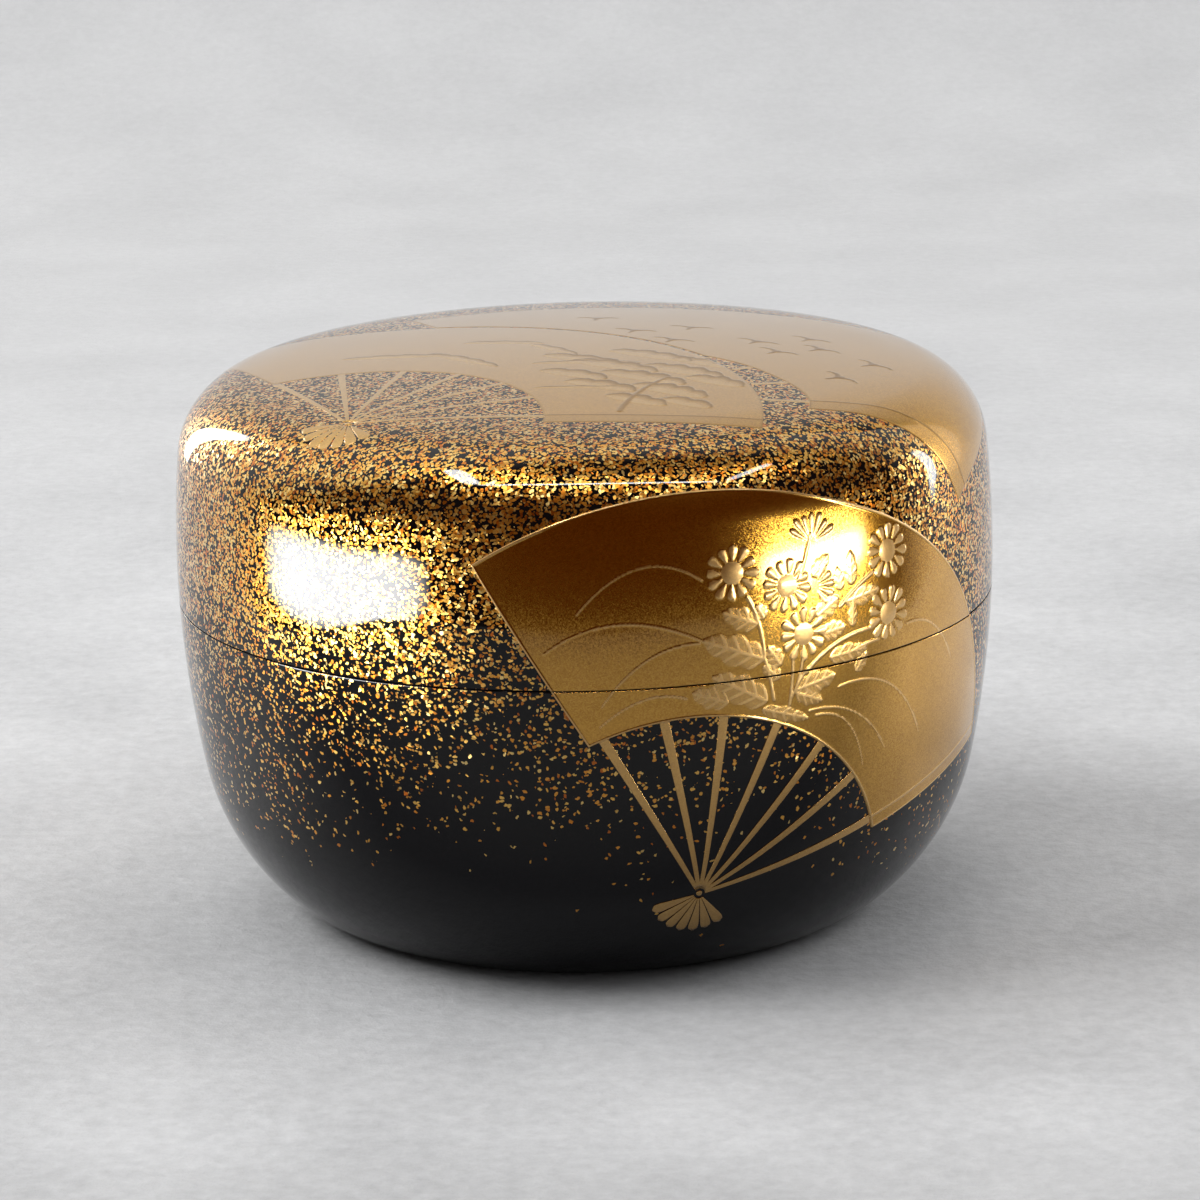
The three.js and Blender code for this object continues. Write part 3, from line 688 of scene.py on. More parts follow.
front_leaf = leaf_sheet("front_leaf", FANS["front"], front_picture, int(740 * FINE), int(196 * FINE))
front_leaf_lid = keep_side(front_leaf, "front_leaf_lid", SEAM_HEIGHT + SEAM_GAP, True)
front_leaf_bowl = keep_side(front_leaf, "front_leaf_bowl", SEAM_HEIGHT, False)
bpy.data.objects.remove(front_leaf)
left_leaf = leaf_sheet("left_crown_leaf", FANS["left"], left_picture, int(520 * FINE), int(150 * FINE))
right_leaf = leaf_sheet("right_crown_leaf", FANS["right"], right_picture, int(480 * FINE), int(150 * FINE))
for piece in (front_leaf_lid, front_leaf_bowl, left_leaf, right_leaf):
    print(piece.name, len(piece.data.polygons), "faces")

# %% [markdown]
# Behind the leaf a fan has its sticks. They run to the pivot, cross under a small rivet and come out on
# the other side as short rounded ends. Sticks repeat round the pivot, which is just what Geometry Nodes
# are for: one tapered bar is made, and a copy is turned to each angle. The tree works on the flat
# drawing, and the result is laid on the caddy afterwards.

# %% Fan sticks in Geometry Nodes


def sticks_tree():
    tree = new_tree("fan sticks", [
        ("Count", "NodeSocketInt", 7),
        ("First Turn", "NodeSocketFloat", 0.0),
        ("Step", "NodeSocketFloat", 0.3),
        ("From", "NodeSocketFloat", 1.0),
        ("To", "NodeSocketFloat", 19.0),
        ("Width From", "NodeSocketFloat", 0.3),
        ("Width To", "NodeSocketFloat", 0.9),
        ("Round End", "NodeSocketFloat", 0.0),
        ("Raise", "NodeSocketFloat", 0.12),
        ("Edge Drop", "NodeSocketFloat", 0.25),
        ("Root", "NodeSocketFloat", 0.05),
        ("Rows", "NodeSocketInt", 24),
        ("Material", "NodeSocketMaterial", None),
    ])
    given = add(tree, "NodeGroupInput").outputs
    result = add(tree, "NodeGroupOutput")
    bar = add(tree, "GeometryNodeMeshCube", {"Size": (1, 1, 1), "Vertices X": 7,
                                             "Vertices Y": given["Rows"], "Vertices Z": 2})
    parts = add(tree, "ShaderNodeSeparateXYZ", {0: add(tree, "GeometryNodeInputPosition").outputs[0]})
    share = math_node(tree, "ADD", parts.outputs["Y"], 0.5)
    run = math_node(tree, "MULTIPLY", math_node(tree, "SUBTRACT", given["To"], given["From"]), share)
    distance = math_node(tree, "ADD", given["From"], run)
    growth = math_node(tree, "SUBTRACT", given["Width To"], given["Width From"])
    width = math_node(tree, "ADD", given["Width From"], math_node(tree, "MULTIPLY", growth, share))
    end = math_node(tree, "POWER", share, 12.0)
    end = math_node(tree, "MULTIPLY", end, given["Round End"])
    end = math_node(tree, "SQRT", math_node(tree, "MAXIMUM", math_node(tree, "SUBTRACT", 1.0, end), 0.02))
    outward = math_node(tree, "MULTIPLY", math_node(tree, "ABSOLUTE", parts.outputs["X"]), 2.0)
    pushed = math_node(tree, "MULTIPLY", math_node(tree, "POWER", outward, 0.3), 0.5)
    signed = math_node(tree, "MULTIPLY", math_node(tree, "SIGN", parts.outputs["X"]), pushed)
    across = math_node(tree, "MULTIPLY", math_node(tree, "MULTIPLY", signed, width), end)
    crowned = math_node(tree, "MULTIPLY", math_node(tree, "POWER", outward, 3.0), given["Edge Drop"])
    crowned = math_node(tree, "SUBTRACT", 1.0, crowned)
    top = math_node(tree, "MULTIPLY", given["Raise"], crowned)
    low = math_node(tree, "MULTIPLY", given["Root"], -1.0)
    is_top = math_node(tree, "GREATER_THAN", parts.outputs["Z"], 0.0)
    blend = add(tree, "ShaderNodeMix", {"Factor": is_top})
    tree.links.new(low, blend.inputs["A"])
    tree.links.new(top, blend.inputs["B"])
    shaped = add(tree, "ShaderNodeCombineXYZ", {"X": across, "Y": distance, "Z": blend.outputs["Result"]})
    stick = add(tree, "GeometryNodeSetPosition", {"Geometry": bar.outputs["Mesh"],
                                                   "Position": shaped.outputs[0]})
    spots = add(tree, "GeometryNodePoints", {"Count": given["Count"]})
    index = add(tree, "GeometryNodeInputIndex").outputs[0]
    turn = math_node(tree, "ADD", given["First Turn"], math_node(tree, "MULTIPLY", index, given["Step"]))
    spin = add(tree, "ShaderNodeCombineXYZ", {"Z": math_node(tree, "MULTIPLY", turn, -1.0)})
    copies = add(tree, "GeometryNodeInstanceOnPoints", {"Points": spots.outputs[0],
                                                         "Instance": stick.outputs[0],
                                                         "Rotation": spin.outputs[0]})
    real = add(tree, "GeometryNodeRealizeInstances", {"Geometry": copies.outputs[0]})
    facing = add(tree, "ShaderNodeSeparateXYZ", {0: add(tree, "GeometryNodeInputNormal").outputs[0]})
    upper = math_node(tree, "GREATER_THAN", facing.outputs["Z"], 0.5)
    flat = add(tree, "GeometryNodeSetShadeSmooth", {"Geometry": real.outputs[0], "Shade Smooth": False})
    smooth = add(tree, "GeometryNodeSetShadeSmooth", {"Geometry": flat.outputs[0], "Selection": upper})
    dressed = add(tree, "GeometryNodeSetMaterial", {"Geometry": smooth.outputs[0],
                                                     "Material": given["Material"]})
    tree.links.new(dressed.outputs[0], result.inputs["Geometry"])
    return tree


STICKS = sticks_tree()
STICK_COUNT = 7


def laid(piece, place):
    """Moves a flat piece's points, in millimetres, onto the caddy."""
    points = np.empty(len(piece.data.vertices) * 3)
    piece.data.vertices.foreach_get("co", points)
    x, y, raise_by = points.reshape(-1, 3).T
    piece.data.vertices.foreach_set("co", place(x, y, raise_by).ravel())
    # Sticks and rivets get a middling pale tone: a painted highlight.
    layer = piece.data.attributes.new("relief", "FLOAT", "POINT")
    layer.data.foreach_set("value", np.full(len(x), 0.35))
    piece.data.update()
    return piece


def stick_set(name, fan, reverse=False):
    """All the sticks of a fan between pivot and leaf, or their ends beyond the pivot."""
    first, last = (math.radians(turn) for turn in fan["tail_turns" if reverse else "sticks"])
    step = (last - first) / (STICK_COUNT - 1)
    narrow, wide = fan["stick_widths"]
    values = {"Count": STICK_COUNT, "First Turn": first, "Step": step, "From": 0.6,
              "To": float(fan["inner"](last)) + 0.5, "Width From": narrow, "Width To": wide,
              "Raise": 0.5 * fan["raise"], "Edge Drop": fan["stick_drop"], "Root": 0.1, "Rows": 32}
    if reverse:
        values.update({"First Turn": first + math.pi, "To": fan["tail"], "Width From": 0.15,
                       "Width To": 0.9 * step * fan["tail"], "Round End": 1.0, "Rows": 16})
    seed = bpy.data.meshes.new(name + "_seed")
    return laid(run_tree(name, seed, STICKS, values), fan["place"])


def rivet(name, fan, radius=0.36, rise=0.1):
    """The small domed rivet over the crossing, with a dimple in its middle."""
    rings, around = 8, 24
    points, faces = [(0.0, 0.0, rise * 0.55)], []
    for ring in range(1, rings + 1):
        share = ring / rings
        height = rise * (1.0 + fan["raise"]) * (1.0 - share ** 4) - 0.4 * rise * math.exp(-(share / 0.3) ** 2)
        height = height if ring < rings else -0.1
        for k in range(around):
            angle = math.tau * k / around
            points.append((radius * share * math.sin(angle), radius * share * math.cos(angle), height))
    for k in range(around):
        after = (k + 1) % around
        faces.append((0, 1 + after, 1 + k))
        for ring in range(rings - 1):
            a, b = 1 + ring * around, 1 + (ring + 1) * around
            faces.append((a + k, a + after, b + after, b + k))
    last = 1 + (rings - 1) * around
    faces.append(tuple(last + k for k in range(around)))
    mesh = bpy.data.meshes.new(name)
    mesh.from_pydata(points, [], faces)
    mesh.shade_smooth()
    piece = bpy.data.objects.new(name, mesh)
    bpy.context.collection.objects.link(piece)
    return laid(piece, fan["place"])


def joined(name, pieces):
    """One object from several, with the normals of its closed parts turned outwards."""
    work = bmesh.new()
    for piece in pieces:
        work.from_mesh(piece.data)
        bpy.data.objects.remove(piece)
    bmesh.ops.recalc_face_normals(work, faces=work.faces)
    mesh = bpy.data.meshes.new(name)
    work.to_mesh(mesh)
    work.free()
    result = bpy.data.objects.new(name, mesh)
    bpy.context.collection.objects.link(result)
    return result


def fan_sticks(name, fan):
    return joined(name, [stick_set(name + "_bars", fan), stick_set(name + "_ends", fan, True),
                         rivet(name + "_rivet", fan)])


def shown_sticks(name, fan):
    """The stretches of a tucked fan's sticks that come out between the leaf over it and its own leaf."""
    bars = []
    narrow, wide = fan["stick_widths"]
    for turn in np.radians(np.linspace(*fan["sticks"], STICK_COUNT)):
        start, inner = float(shows_from(fan, turn)), float(fan["inner"](turn))
        if start < inner - 0.5:
            values = {"Count": 1, "First Turn": turn, "From": start, "To": inner + 0.3,
                      "Width From": narrow + (wide - narrow) * start / inner, "Width To": wide,
                      "Raise": 0.5 * fan["raise"], "Edge Drop": fan["stick_drop"], "Root": 0.1}
            seed = bpy.data.meshes.new(name + "_seed")
            bars.append(laid(run_tree(f"{name}_{len(bars)}", seed, STICKS, values), fan["place"]))
    return joined(name, bars)


front_sticks = fan_sticks("front_fan_sticks", FANS["front"])
left_sticks = fan_sticks("left_crown_sticks", FANS["left"])
right_sticks = shown_sticks("right_crown_sticks", FANS["right"])
print("sticks:", [len(p.data.polygons) for p in (front_sticks, left_sticks, right_sticks)])

# %% [markdown]
# Gold flakes are sprinkled on wet lacquer, covered with clear amber lacquer and polished flat. Each flake
# lies at its own small tilt, so neighbours flash or stay dark, and the deeper ones look redder. A picture
# could show that from one side only. A group of shader nodes scatters them through space instead: each
# cell of a Voronoi texture holds one flake, a stretched blob with its own colour, size and tilt.

# %% A shader group for sprinkled flakes


def new_shader_group(name, inputs, outputs):
    group = bpy.data.node_groups.new(name, "ShaderNodeTree")
    for label, kind, value in inputs:
        socket = group.interface.new_socket(name=label, in_out="INPUT", socket_type=kind)
        if value is not None:
            socket.default_value = value
    for label, kind in outputs:
        group.interface.new_socket(name=label, in_out="OUTPUT", socket_type=kind)
    return group


def vector_node(tree, operation, a, b=None, scale=None):
    values = {0: a}
    if b is not None:
        values[1] = b
    node = add(tree, "ShaderNodeVectorMath", values, operation=operation)
    if scale is not None:
        if isinstance(scale, bpy.types.NodeSocket):
            tree.links.new(scale, node.inputs["Scale"])
        else:
            node.inputs["Scale"].default_value = scale
    return node


def flakes_group():
    group = new_shader_group("sprinkled flakes", [
        ("Place", "NodeSocketVector", None),
        ("Size", "NodeSocketFloat", 0.5),
        ("Shift", "NodeSocketVector", (0.0, 0.0, 0.0)),
        ("Spread", "NodeSocketFloat", 0.45),
        ("Stretch", "NodeSocketFloat", 1.7),
        ("Tilt", "NodeSocketFloat", 0.3),
        ("Full Height", "NodeSocketFloat", 45.0),
        ("Bare Height", "NodeSocketFloat", 11.0),
        ("Most", "NodeSocketFloat", 0.95),
    ], [("Mask", "NodeSocketFloat"), ("Chance", "NodeSocketColor"), ("Normal", "NodeSocketVector")])
    given = add(group, "NodeGroupInput").outputs
    result = add(group, "NodeGroupOutput")
    in_mm = vector_node(group, "SCALE", given["Place"], scale=1000.0).outputs[0]
    wobble = add(group, "ShaderNodeTexNoise", {"Vector": in_mm, "Scale": 3.4, "Detail": 1.0})
    centred = vector_node(group, "SUBTRACT", wobble.outputs["Color"], (0.5, 0.5, 0.5)).outputs[0]
    wobbled = vector_node(group, "ADD", in_mm, vector_node(group, "SCALE", centred, scale=0.22).outputs[0])
    cells = math_node(group, "DIVIDE", 1.0, given["Size"])
    scaled = vector_node(group, "SCALE", wobbled.outputs[0], scale=cells).outputs[0]
    shifted = vector_node(group, "ADD", scaled, given["Shift"]).outputs[0]
    voronoi = add(group, "ShaderNodeTexVoronoi", {"Vector": shifted, "Scale": 1.0, "Randomness": 1.0})
    from_seed = vector_node(group, "SUBTRACT", shifted, voronoi.outputs["Position"]).outputs[0]
    spin = vector_node(group, "SCALE", voronoi.outputs["Color"], scale=math.tau).outputs[0]
    turned = add(group, "ShaderNodeVectorRotate", {"Vector": from_seed, "Rotation": spin},
                 rotation_type="EULER_XYZ").outputs[0]
    stretch = add(group, "ShaderNodeCombineXYZ", {"X": given["Stretch"], "Y": 1.0, "Z": 0.8}).outputs[0]
    length = vector_node(group, "LENGTH", vector_node(group, "MULTIPLY", turned, stretch).outputs[0])
    chances = add(group, "ShaderNodeSeparateColor", {0: voronoi.outputs["Color"]}).outputs
    size = math_node(group, "ADD", 0.75, math_node(group, "MULTIPLY", chances["Blue"], 0.5))
    limit = math_node(group, "MULTIPLY", given["Spread"], size)
    inside = math_node(group, "LESS_THAN", length.outputs["Value"], limit)
    back = vector_node(group, "SUBTRACT", voronoi.outputs["Position"], given["Shift"]).outputs[0]
    seed_place = vector_node(group, "SCALE", back, scale=given["Size"]).outputs[0]
    seed_parts = add(group, "ShaderNodeSeparateXYZ", {0: seed_place}).outputs
    sideways = math_node(group, "MULTIPLY", math_node(group, "ABSOLUTE", seed_parts["X"]), 0.16)
    height = math_node(group, "ADD", seed_parts["Z"], sideways)
    drift = add(group, "ShaderNodeTexNoise", {"Vector": seed_place, "Scale": 0.085, "Detail": 2.0})
    drift = math_node(group, "MULTIPLY", math_node(group, "SUBTRACT", drift.outputs["Fac"], 0.5), 26.0)
    height = math_node(group, "ADD", height, drift)
    density = add(group, "ShaderNodeMapRange", {"Value": height, "From Min": given["Bare Height"],
                                                 "From Max": given["Full Height"], "To Min": 0.0,
                                                 "To Max": 1.0}).outputs["Result"]
    density = math_node(group, "MULTIPLY", math_node(group, "POWER", density, 1.9), given["Most"])
    clump = add(group, "ShaderNodeTexNoise", {"Vector": seed_place, "Scale": 0.62, "Detail": 1.0})
    clump = math_node(group, "MULTIPLY", math_node(group, "SUBTRACT", clump.outputs["Fac"], 0.5), 2.2)
    room = math_node(group, "MULTIPLY", density, math_node(group, "SUBTRACT", 1.05, density))
    density = math_node(group, "ADD", density, math_node(group, "MULTIPLY", clump, room))
    chosen = math_node(group, "LESS_THAN", chances["Red"], density)
    mask = math_node(group, "MULTIPLY", inside, chosen)
    lean = vector_node(group, "SUBTRACT", voronoi.outputs["Color"], (0.5, 0.5, 0.5)).outputs[0]
    lean = vector_node(group, "SCALE", lean, scale=given["Tilt"]).outputs[0]
    normal = add(group, "ShaderNodeNewGeometry").outputs["Normal"]
    normal = vector_node(group, "NORMALIZE", vector_node(group, "ADD", normal, lean).outputs[0]).outputs[0]
    group.links.new(mask, result.inputs["Mask"])
    group.links.new(voronoi.outputs["Color"], result.inputs["Chance"])
    group.links.new(normal, result.inputs["Normal"])
    return group


FLAKES = flakes_group()

# %% [markdown]
# The leaf gold is a fine powder, rubbed down to a satin. Close to, it has a grain like very fine sand. A
# second group gives that grain as a tilt of the normal and a slight mottling, for leaves and sticks alike.

# %% A shader group for powder grain


def grain_group():
    group = new_shader_group("powder grain", [
        ("Place", "NodeSocketVector", None),
        ("Grain", "NodeSocketFloat", 0.11),
        ("Tilt", "NodeSocketFloat", 0.04),
    ], [("Speckle", "NodeSocketFloat"), ("Mottle", "NodeSocketFloat"), ("Normal", "NodeSocketVector")])
    given = add(group, "NodeGroupInput").outputs
    result = add(group, "NodeGroupOutput")
    in_mm = vector_node(group, "SCALE", given["Place"], scale=1000.0).outputs[0]
    cells = math_node(group, "DIVIDE", 1.0, given["Grain"])
    scaled = vector_node(group, "SCALE", in_mm, scale=cells).outputs[0]
    voronoi = add(group, "ShaderNodeTexVoronoi", {"Vector": scaled, "Scale": 1.0, "Randomness": 1.0})
    lean = vector_node(group, "SUBTRACT", voronoi.outputs["Color"], (0.5, 0.5, 0.5)).outputs[0]
    lean = vector_node(group, "SCALE", lean, scale=given["Tilt"]).outputs[0]
    normal = add(group, "ShaderNodeNewGeometry").outputs["Normal"]
    normal = vector_node(group, "NORMALIZE", vector_node(group, "ADD", normal, lean).outputs[0]).outputs[0]
    mottle = add(group, "ShaderNodeTexNoise", {"Vector": in_mm, "Scale": 0.35, "Detail": 4.0})
    speckle = add(group, "ShaderNodeSeparateColor", {0: voronoi.outputs["Color"]}).outputs["Red"]
    group.links.new(speckle, result.inputs["Speckle"])
    group.links.new(mottle.outputs["Fac"], result.inputs["Mottle"])
    group.links.new(normal, result.inputs["Normal"])
    return group


GRAIN = grain_group()

# %% [markdown]
# Three finishes cover the caddy. The lacquer is black, with two layers of flakes in it and a clear coat over
# all. The fans are satin gold, paler and rougher where the relief stands up; the paler colour is a painted
# highlight. Where the relief tone is below nought the gold is dark brown with a thinner coat, a painted
# shade. Where nobody looks, inside, the lacquer is plain black.

# %% The materials


def new_material(name):
    material = bpy.data.materials.new(name)
    material.use_nodes = True
    tree = material.node_tree
    return material, tree, tree.nodes["Principled BSDF"]


def place_of(tree):
    return add(tree, "ShaderNodeTexCoord").outputs["Object"]


def mixed(tree, factor, a, b, kind="RGBA"):
    node = tree.nodes.new("ShaderNodeMix")
    node.data_type = kind
    number = {"RGBA": (6, 7), "FLOAT": (2, 3), "VECTOR": (4, 5)}[kind]
    for key, value in ((0, factor), (number[0], a), (number[1], b)):
        if isinstance(value, bpy.types.NodeSocket):
            tree.links.new(value, node.inputs[key])
        else:
            node.inputs[key].default_value = value
    return node.outputs[{"RGBA": 2, "FLOAT": 0, "VECTOR": 1}[kind]]


def ramp(tree, factor, stops):
    node = tree.nodes.new("ShaderNodeValToRGB")
    tree.links.new(factor, node.inputs[0])
    while len(node.color_ramp.elements) < len(stops):
        node.color_ramp.elements.new(1.0)
    for element, (position, colour) in zip(node.color_ramp.elements, stops):
        element.position = position
        element.color = (*colour, 1.0)
    return node.outputs["Color"]


LACQUER_BLACK = (0.0020, 0.0020, 0.0026, 1.0)
FLAKE_COLOURS = [(0.0, (0.62, 0.15, 0.01)), (0.25, (0.90, 0.37, 0.04)), (0.55, (0.98, 0.52, 0.09)),
                 (0.8, (1.0, 0.62, 0.15)), (1.0, (1.0, 0.74, 0.28))]


def flaked_lacquer():
    material, tree, shader = new_material("flaked lacquer")
    place = place_of(tree)
    layers = []
    for size, shift, spread, tilt, most in ((0.36, (0.0, 0.0, 0.0), 0.53, 0.18, 0.88),
                                            (0.40, (31.7, 12.3, 5.9), 0.52, 0.28, 0.64)):
        node = add(tree, "ShaderNodeGroup", node_tree=FLAKES)
        tree.links.new(place, node.inputs["Place"])
        for label, value in (("Size", size), ("Shift", shift), ("Spread", spread), ("Tilt", tilt),
                             ("Most", most)):
            node.inputs[label].default_value = value
        layers.append(node.outputs)
    upper, lower = layers
    mask = math_node(tree, "MAXIMUM", upper["Mask"], lower["Mask"])
    chance = mixed(tree, upper["Mask"], lower["Chance"], upper["Chance"])
    normal = mixed(tree, upper["Mask"], lower["Normal"], upper["Normal"], "VECTOR")
    plain = add(tree, "ShaderNodeNewGeometry").outputs["Normal"]
    pick = add(tree, "ShaderNodeSeparateColor", {0: chance}).outputs["Green"]
    gold = ramp(tree, pick, FLAKE_COLOURS)
    tree.links.new(mixed(tree, mask, LACQUER_BLACK, gold), shader.inputs["Base Color"])
    tree.links.new(mask, shader.inputs["Metallic"])
    tree.links.new(mixed(tree, mask, 0.5, 0.29, "FLOAT"), shader.inputs["Roughness"])
    tree.links.new(mixed(tree, mask, plain, normal, "VECTOR"), shader.inputs["Normal"])
    shader.inputs["Specular IOR Level"].default_value = 0.0
    shader.inputs["Coat Weight"].default_value = 1.0
    shader.inputs["Coat Roughness"].default_value = 0.03
    shader.inputs["Coat IOR"].default_value = 1.48
    return material


def satin_gold(name, roughness, coat_index, shade):
    """Powdered gold under a clear coat, painted a little darker or lighter as a whole by its shade factor,
    with a painted highlight and painted shade from the relief tone.
    """
    material, tree, shader = new_material(name)
    node = add(tree, "ShaderNodeGroup", node_tree=GRAIN)
    tree.links.new(place_of(tree), node.inputs["Place"])
    grain = node.outputs
    # The relief tone is painted light. Above nought it mixes in a pale gold, a painted highlight; below
    # nought a dark brown, with the coat thinned so it reflects less, a painted shade.
    relief = add(tree, "ShaderNodeAttribute", attribute_name="relief").outputs["Fac"]
    painted_shade_share = add(tree, "ShaderNodeMath", {0: relief, 1: -1.0}, operation="MULTIPLY", use_clamp=True).outputs[0]
    mottled = ramp(tree, grain["Mottle"], [(0.3, (0.73, 0.365, 0.043)), (0.7, (0.82, 0.42, 0.058))])
    speckled = mixed(tree, grain["Speckle"], (0.54, 0.24, 0.016, 1.0), (0.98, 0.57, 0.095, 1.0))
    base = mixed(tree, 0.6, mottled, speckled)
    base = vector_node(tree, "SCALE", base, scale=shade).outputs[0]
    base = mixed(tree, relief, base, (0.95, 0.68, 0.34, 1.0))
    tree.links.new(mixed(tree, painted_shade_share, base, (0.30, 0.155, 0.04, 1.0)), shader.inputs["Base Color"])
    tree.links.new(mixed(tree, relief, roughness, roughness + 0.24, "FLOAT"), shader.inputs["Roughness"])
    tree.links.new(grain["Normal"], shader.inputs["Normal"])
    shader.inputs["Metallic"].default_value = 1.0
    tree.links.new(mixed(tree, painted_shade_share, 1.0, 0.1, "FLOAT"), shader.inputs["Coat Weight"])
    shader.inputs["Coat Roughness"].default_value = 0.08
    shader.inputs["Coat IOR"].default_value = coat_index
    return material


def plain_lacquer():
    material, tree, shader = new_material("plain black lacquer")
    node = add(tree, "ShaderNodeGroup", node_tree=GRAIN)
    tree.links.new(place_of(tree), node.inputs["Place"])
    tone = ramp(tree, node.outputs["Mottle"], [(0.3, (0.006, 0.005, 0.005)), (0.7, (0.011, 0.009, 0.009))])
    tree.links.new(tone, shader.inputs["Base Color"])
    shader.inputs["Roughness"].default_value = 0.12
    return material


LACQUER = flaked_lacquer()
GOLD = satin_gold("satin gold", 0.18, 1.58, 1.0)
# The crown's gold is the front gold painted a tenth darker, a painted shade, with a lower coat index, so it
# gleams less.
CROWN_GOLD = satin_gold("crown gold with painted shade", 0.21, 1.42, 0.9)
INSIDE = plain_lacquer()


def dress_shell(piece, inside_test):
    """Flaked lacquer outside and plain lacquer where a face's middle and normal are inside."""
    piece.data.materials.clear()
    piece.data.materials.append(LACQUER)
    piece.data.materials.append(INSIDE)
    for face in piece.data.polygons:
        x, y, z = face.center
        outward = x * face.normal.x + y * face.normal.y
        face.material_index = int(inside_test(math.hypot(x, y) / MM, z / MM, outward, face.normal.z))


dress_shell(lid_lacquer, lambda r, z, outward, up: outward < 0 or up < -0.5)
dress_shell(bowl_lacquer, lambda r, z, outward, up: outward < 0 or up > 0.5 or z > SEAM_HEIGHT or z < 0.7)
FRONT_GOLD = [front_leaf_lid, front_leaf_bowl, front_sticks]
TOP_GOLD = [left_leaf, right_leaf, left_sticks, right_sticks]
GOLD_PIECES = FRONT_GOLD + TOP_GOLD
for piece in GOLD_PIECES:
    piece.data.materials.clear()
    piece.data.materials.append(GOLD if piece in FRONT_GOLD else CROWN_GOLD)

# %% [markdown]
# Each piece rides on the one body of the frame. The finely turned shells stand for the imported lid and
# bowl, and the gold lies on them.

# %% Ride and replace
for piece in [lid_lacquer, bowl_lacquer] + GOLD_PIECES:
    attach(piece, "root")
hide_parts("lid")
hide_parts("bowl")

# %% [markdown]
# The caddy stands on a small table covered with pale paper, which hangs over the table's rounded front and
# rises behind to a backdrop. Lacquer is a mirror, so the paper matters twice: as a floor, and as what the
# lower half and the crown show. High up behind it is painted whiter, a painted light, and in front of the
# caddy it is painted darker, a painted shade. In reflections that painted shade begins right at the foot, so
# the black foot stays black.

# %% Floor and backdrop
TABLE_HALF_WIDTH = 0.165
TABLE_FRONT = -0.19
FRONT_ROLL = 0.1
FRONT_CORNERS = 0.33
BACKDROP_AT = 0.75
SWEEP_RADIUS = 0.35
BACKDROP_HEIGHT = 1.1
PAPER_COLUMNS = 21


def paper_sweep():
    """One sheet of paper: flat on the table, then curving up behind it."""
    path = [(TABLE_FRONT - FRONT_ROLL, -0.3)]
    for k in range(13):
        angle = math.pi / 2 * (1 - k / 12)
        path.append((TABLE_FRONT - FRONT_ROLL * math.sin(angle), -FRONT_ROLL * (1 - math.cos(angle))))
    path += [(0.0, 0.0), (BACKDROP_AT - SWEEP_RADIUS, 0.0)]
    for k in range(1, 25):
        angle = math.pi / 2 * k / 24
        path.append((BACKDROP_AT - SWEEP_RADIUS + SWEEP_RADIUS * math.sin(angle),
                     SWEEP_RADIUS * (1 - math.cos(angle))))
    path.append((BACKDROP_AT, BACKDROP_HEIGHT))
    points, faces = [], []
    for y, z in path:
        spread = TABLE_HALF_WIDTH + max(0.0, y) * 0.9
        for share in np.linspace(-1.0, 1.0, PAPER_COLUMNS):
            shorter = 1.0 - FRONT_CORNERS * share ** 4 if y < 0 else 1.0
            points.append((spread * share, y * shorter, z))
    for k in range(len(path) - 1):
        for i in range(PAPER_COLUMNS - 1):
            a = k * PAPER_COLUMNS + i
            faces.append((a, a + 1, a + 1 + PAPER_COLUMNS, a + PAPER_COLUMNS))
    mesh = bpy.data.meshes.new("paper_sweep")
    mesh.from_pydata(points, [], faces)
    mesh.shade_smooth()
    piece = bpy.data.objects.new("paper_sweep", mesh)
    bpy.context.collection.objects.link(piece)
    return piece


PAINTED_LIGHT_HIGH_PAPER = (0.81, 0.785, 0.74, 1.0)
# The paper in front is painted darker, a painted shade, and darkest just before the foot, where mostly the
# lacquer's reflection sees it.
PAINTED_SHADE_FRONT_PAPER = (0.25, 0.245, 0.24, 1.0)
PAINTED_SHADE_FOOT_PAPER = (0.17, 0.168, 0.175, 1.0)


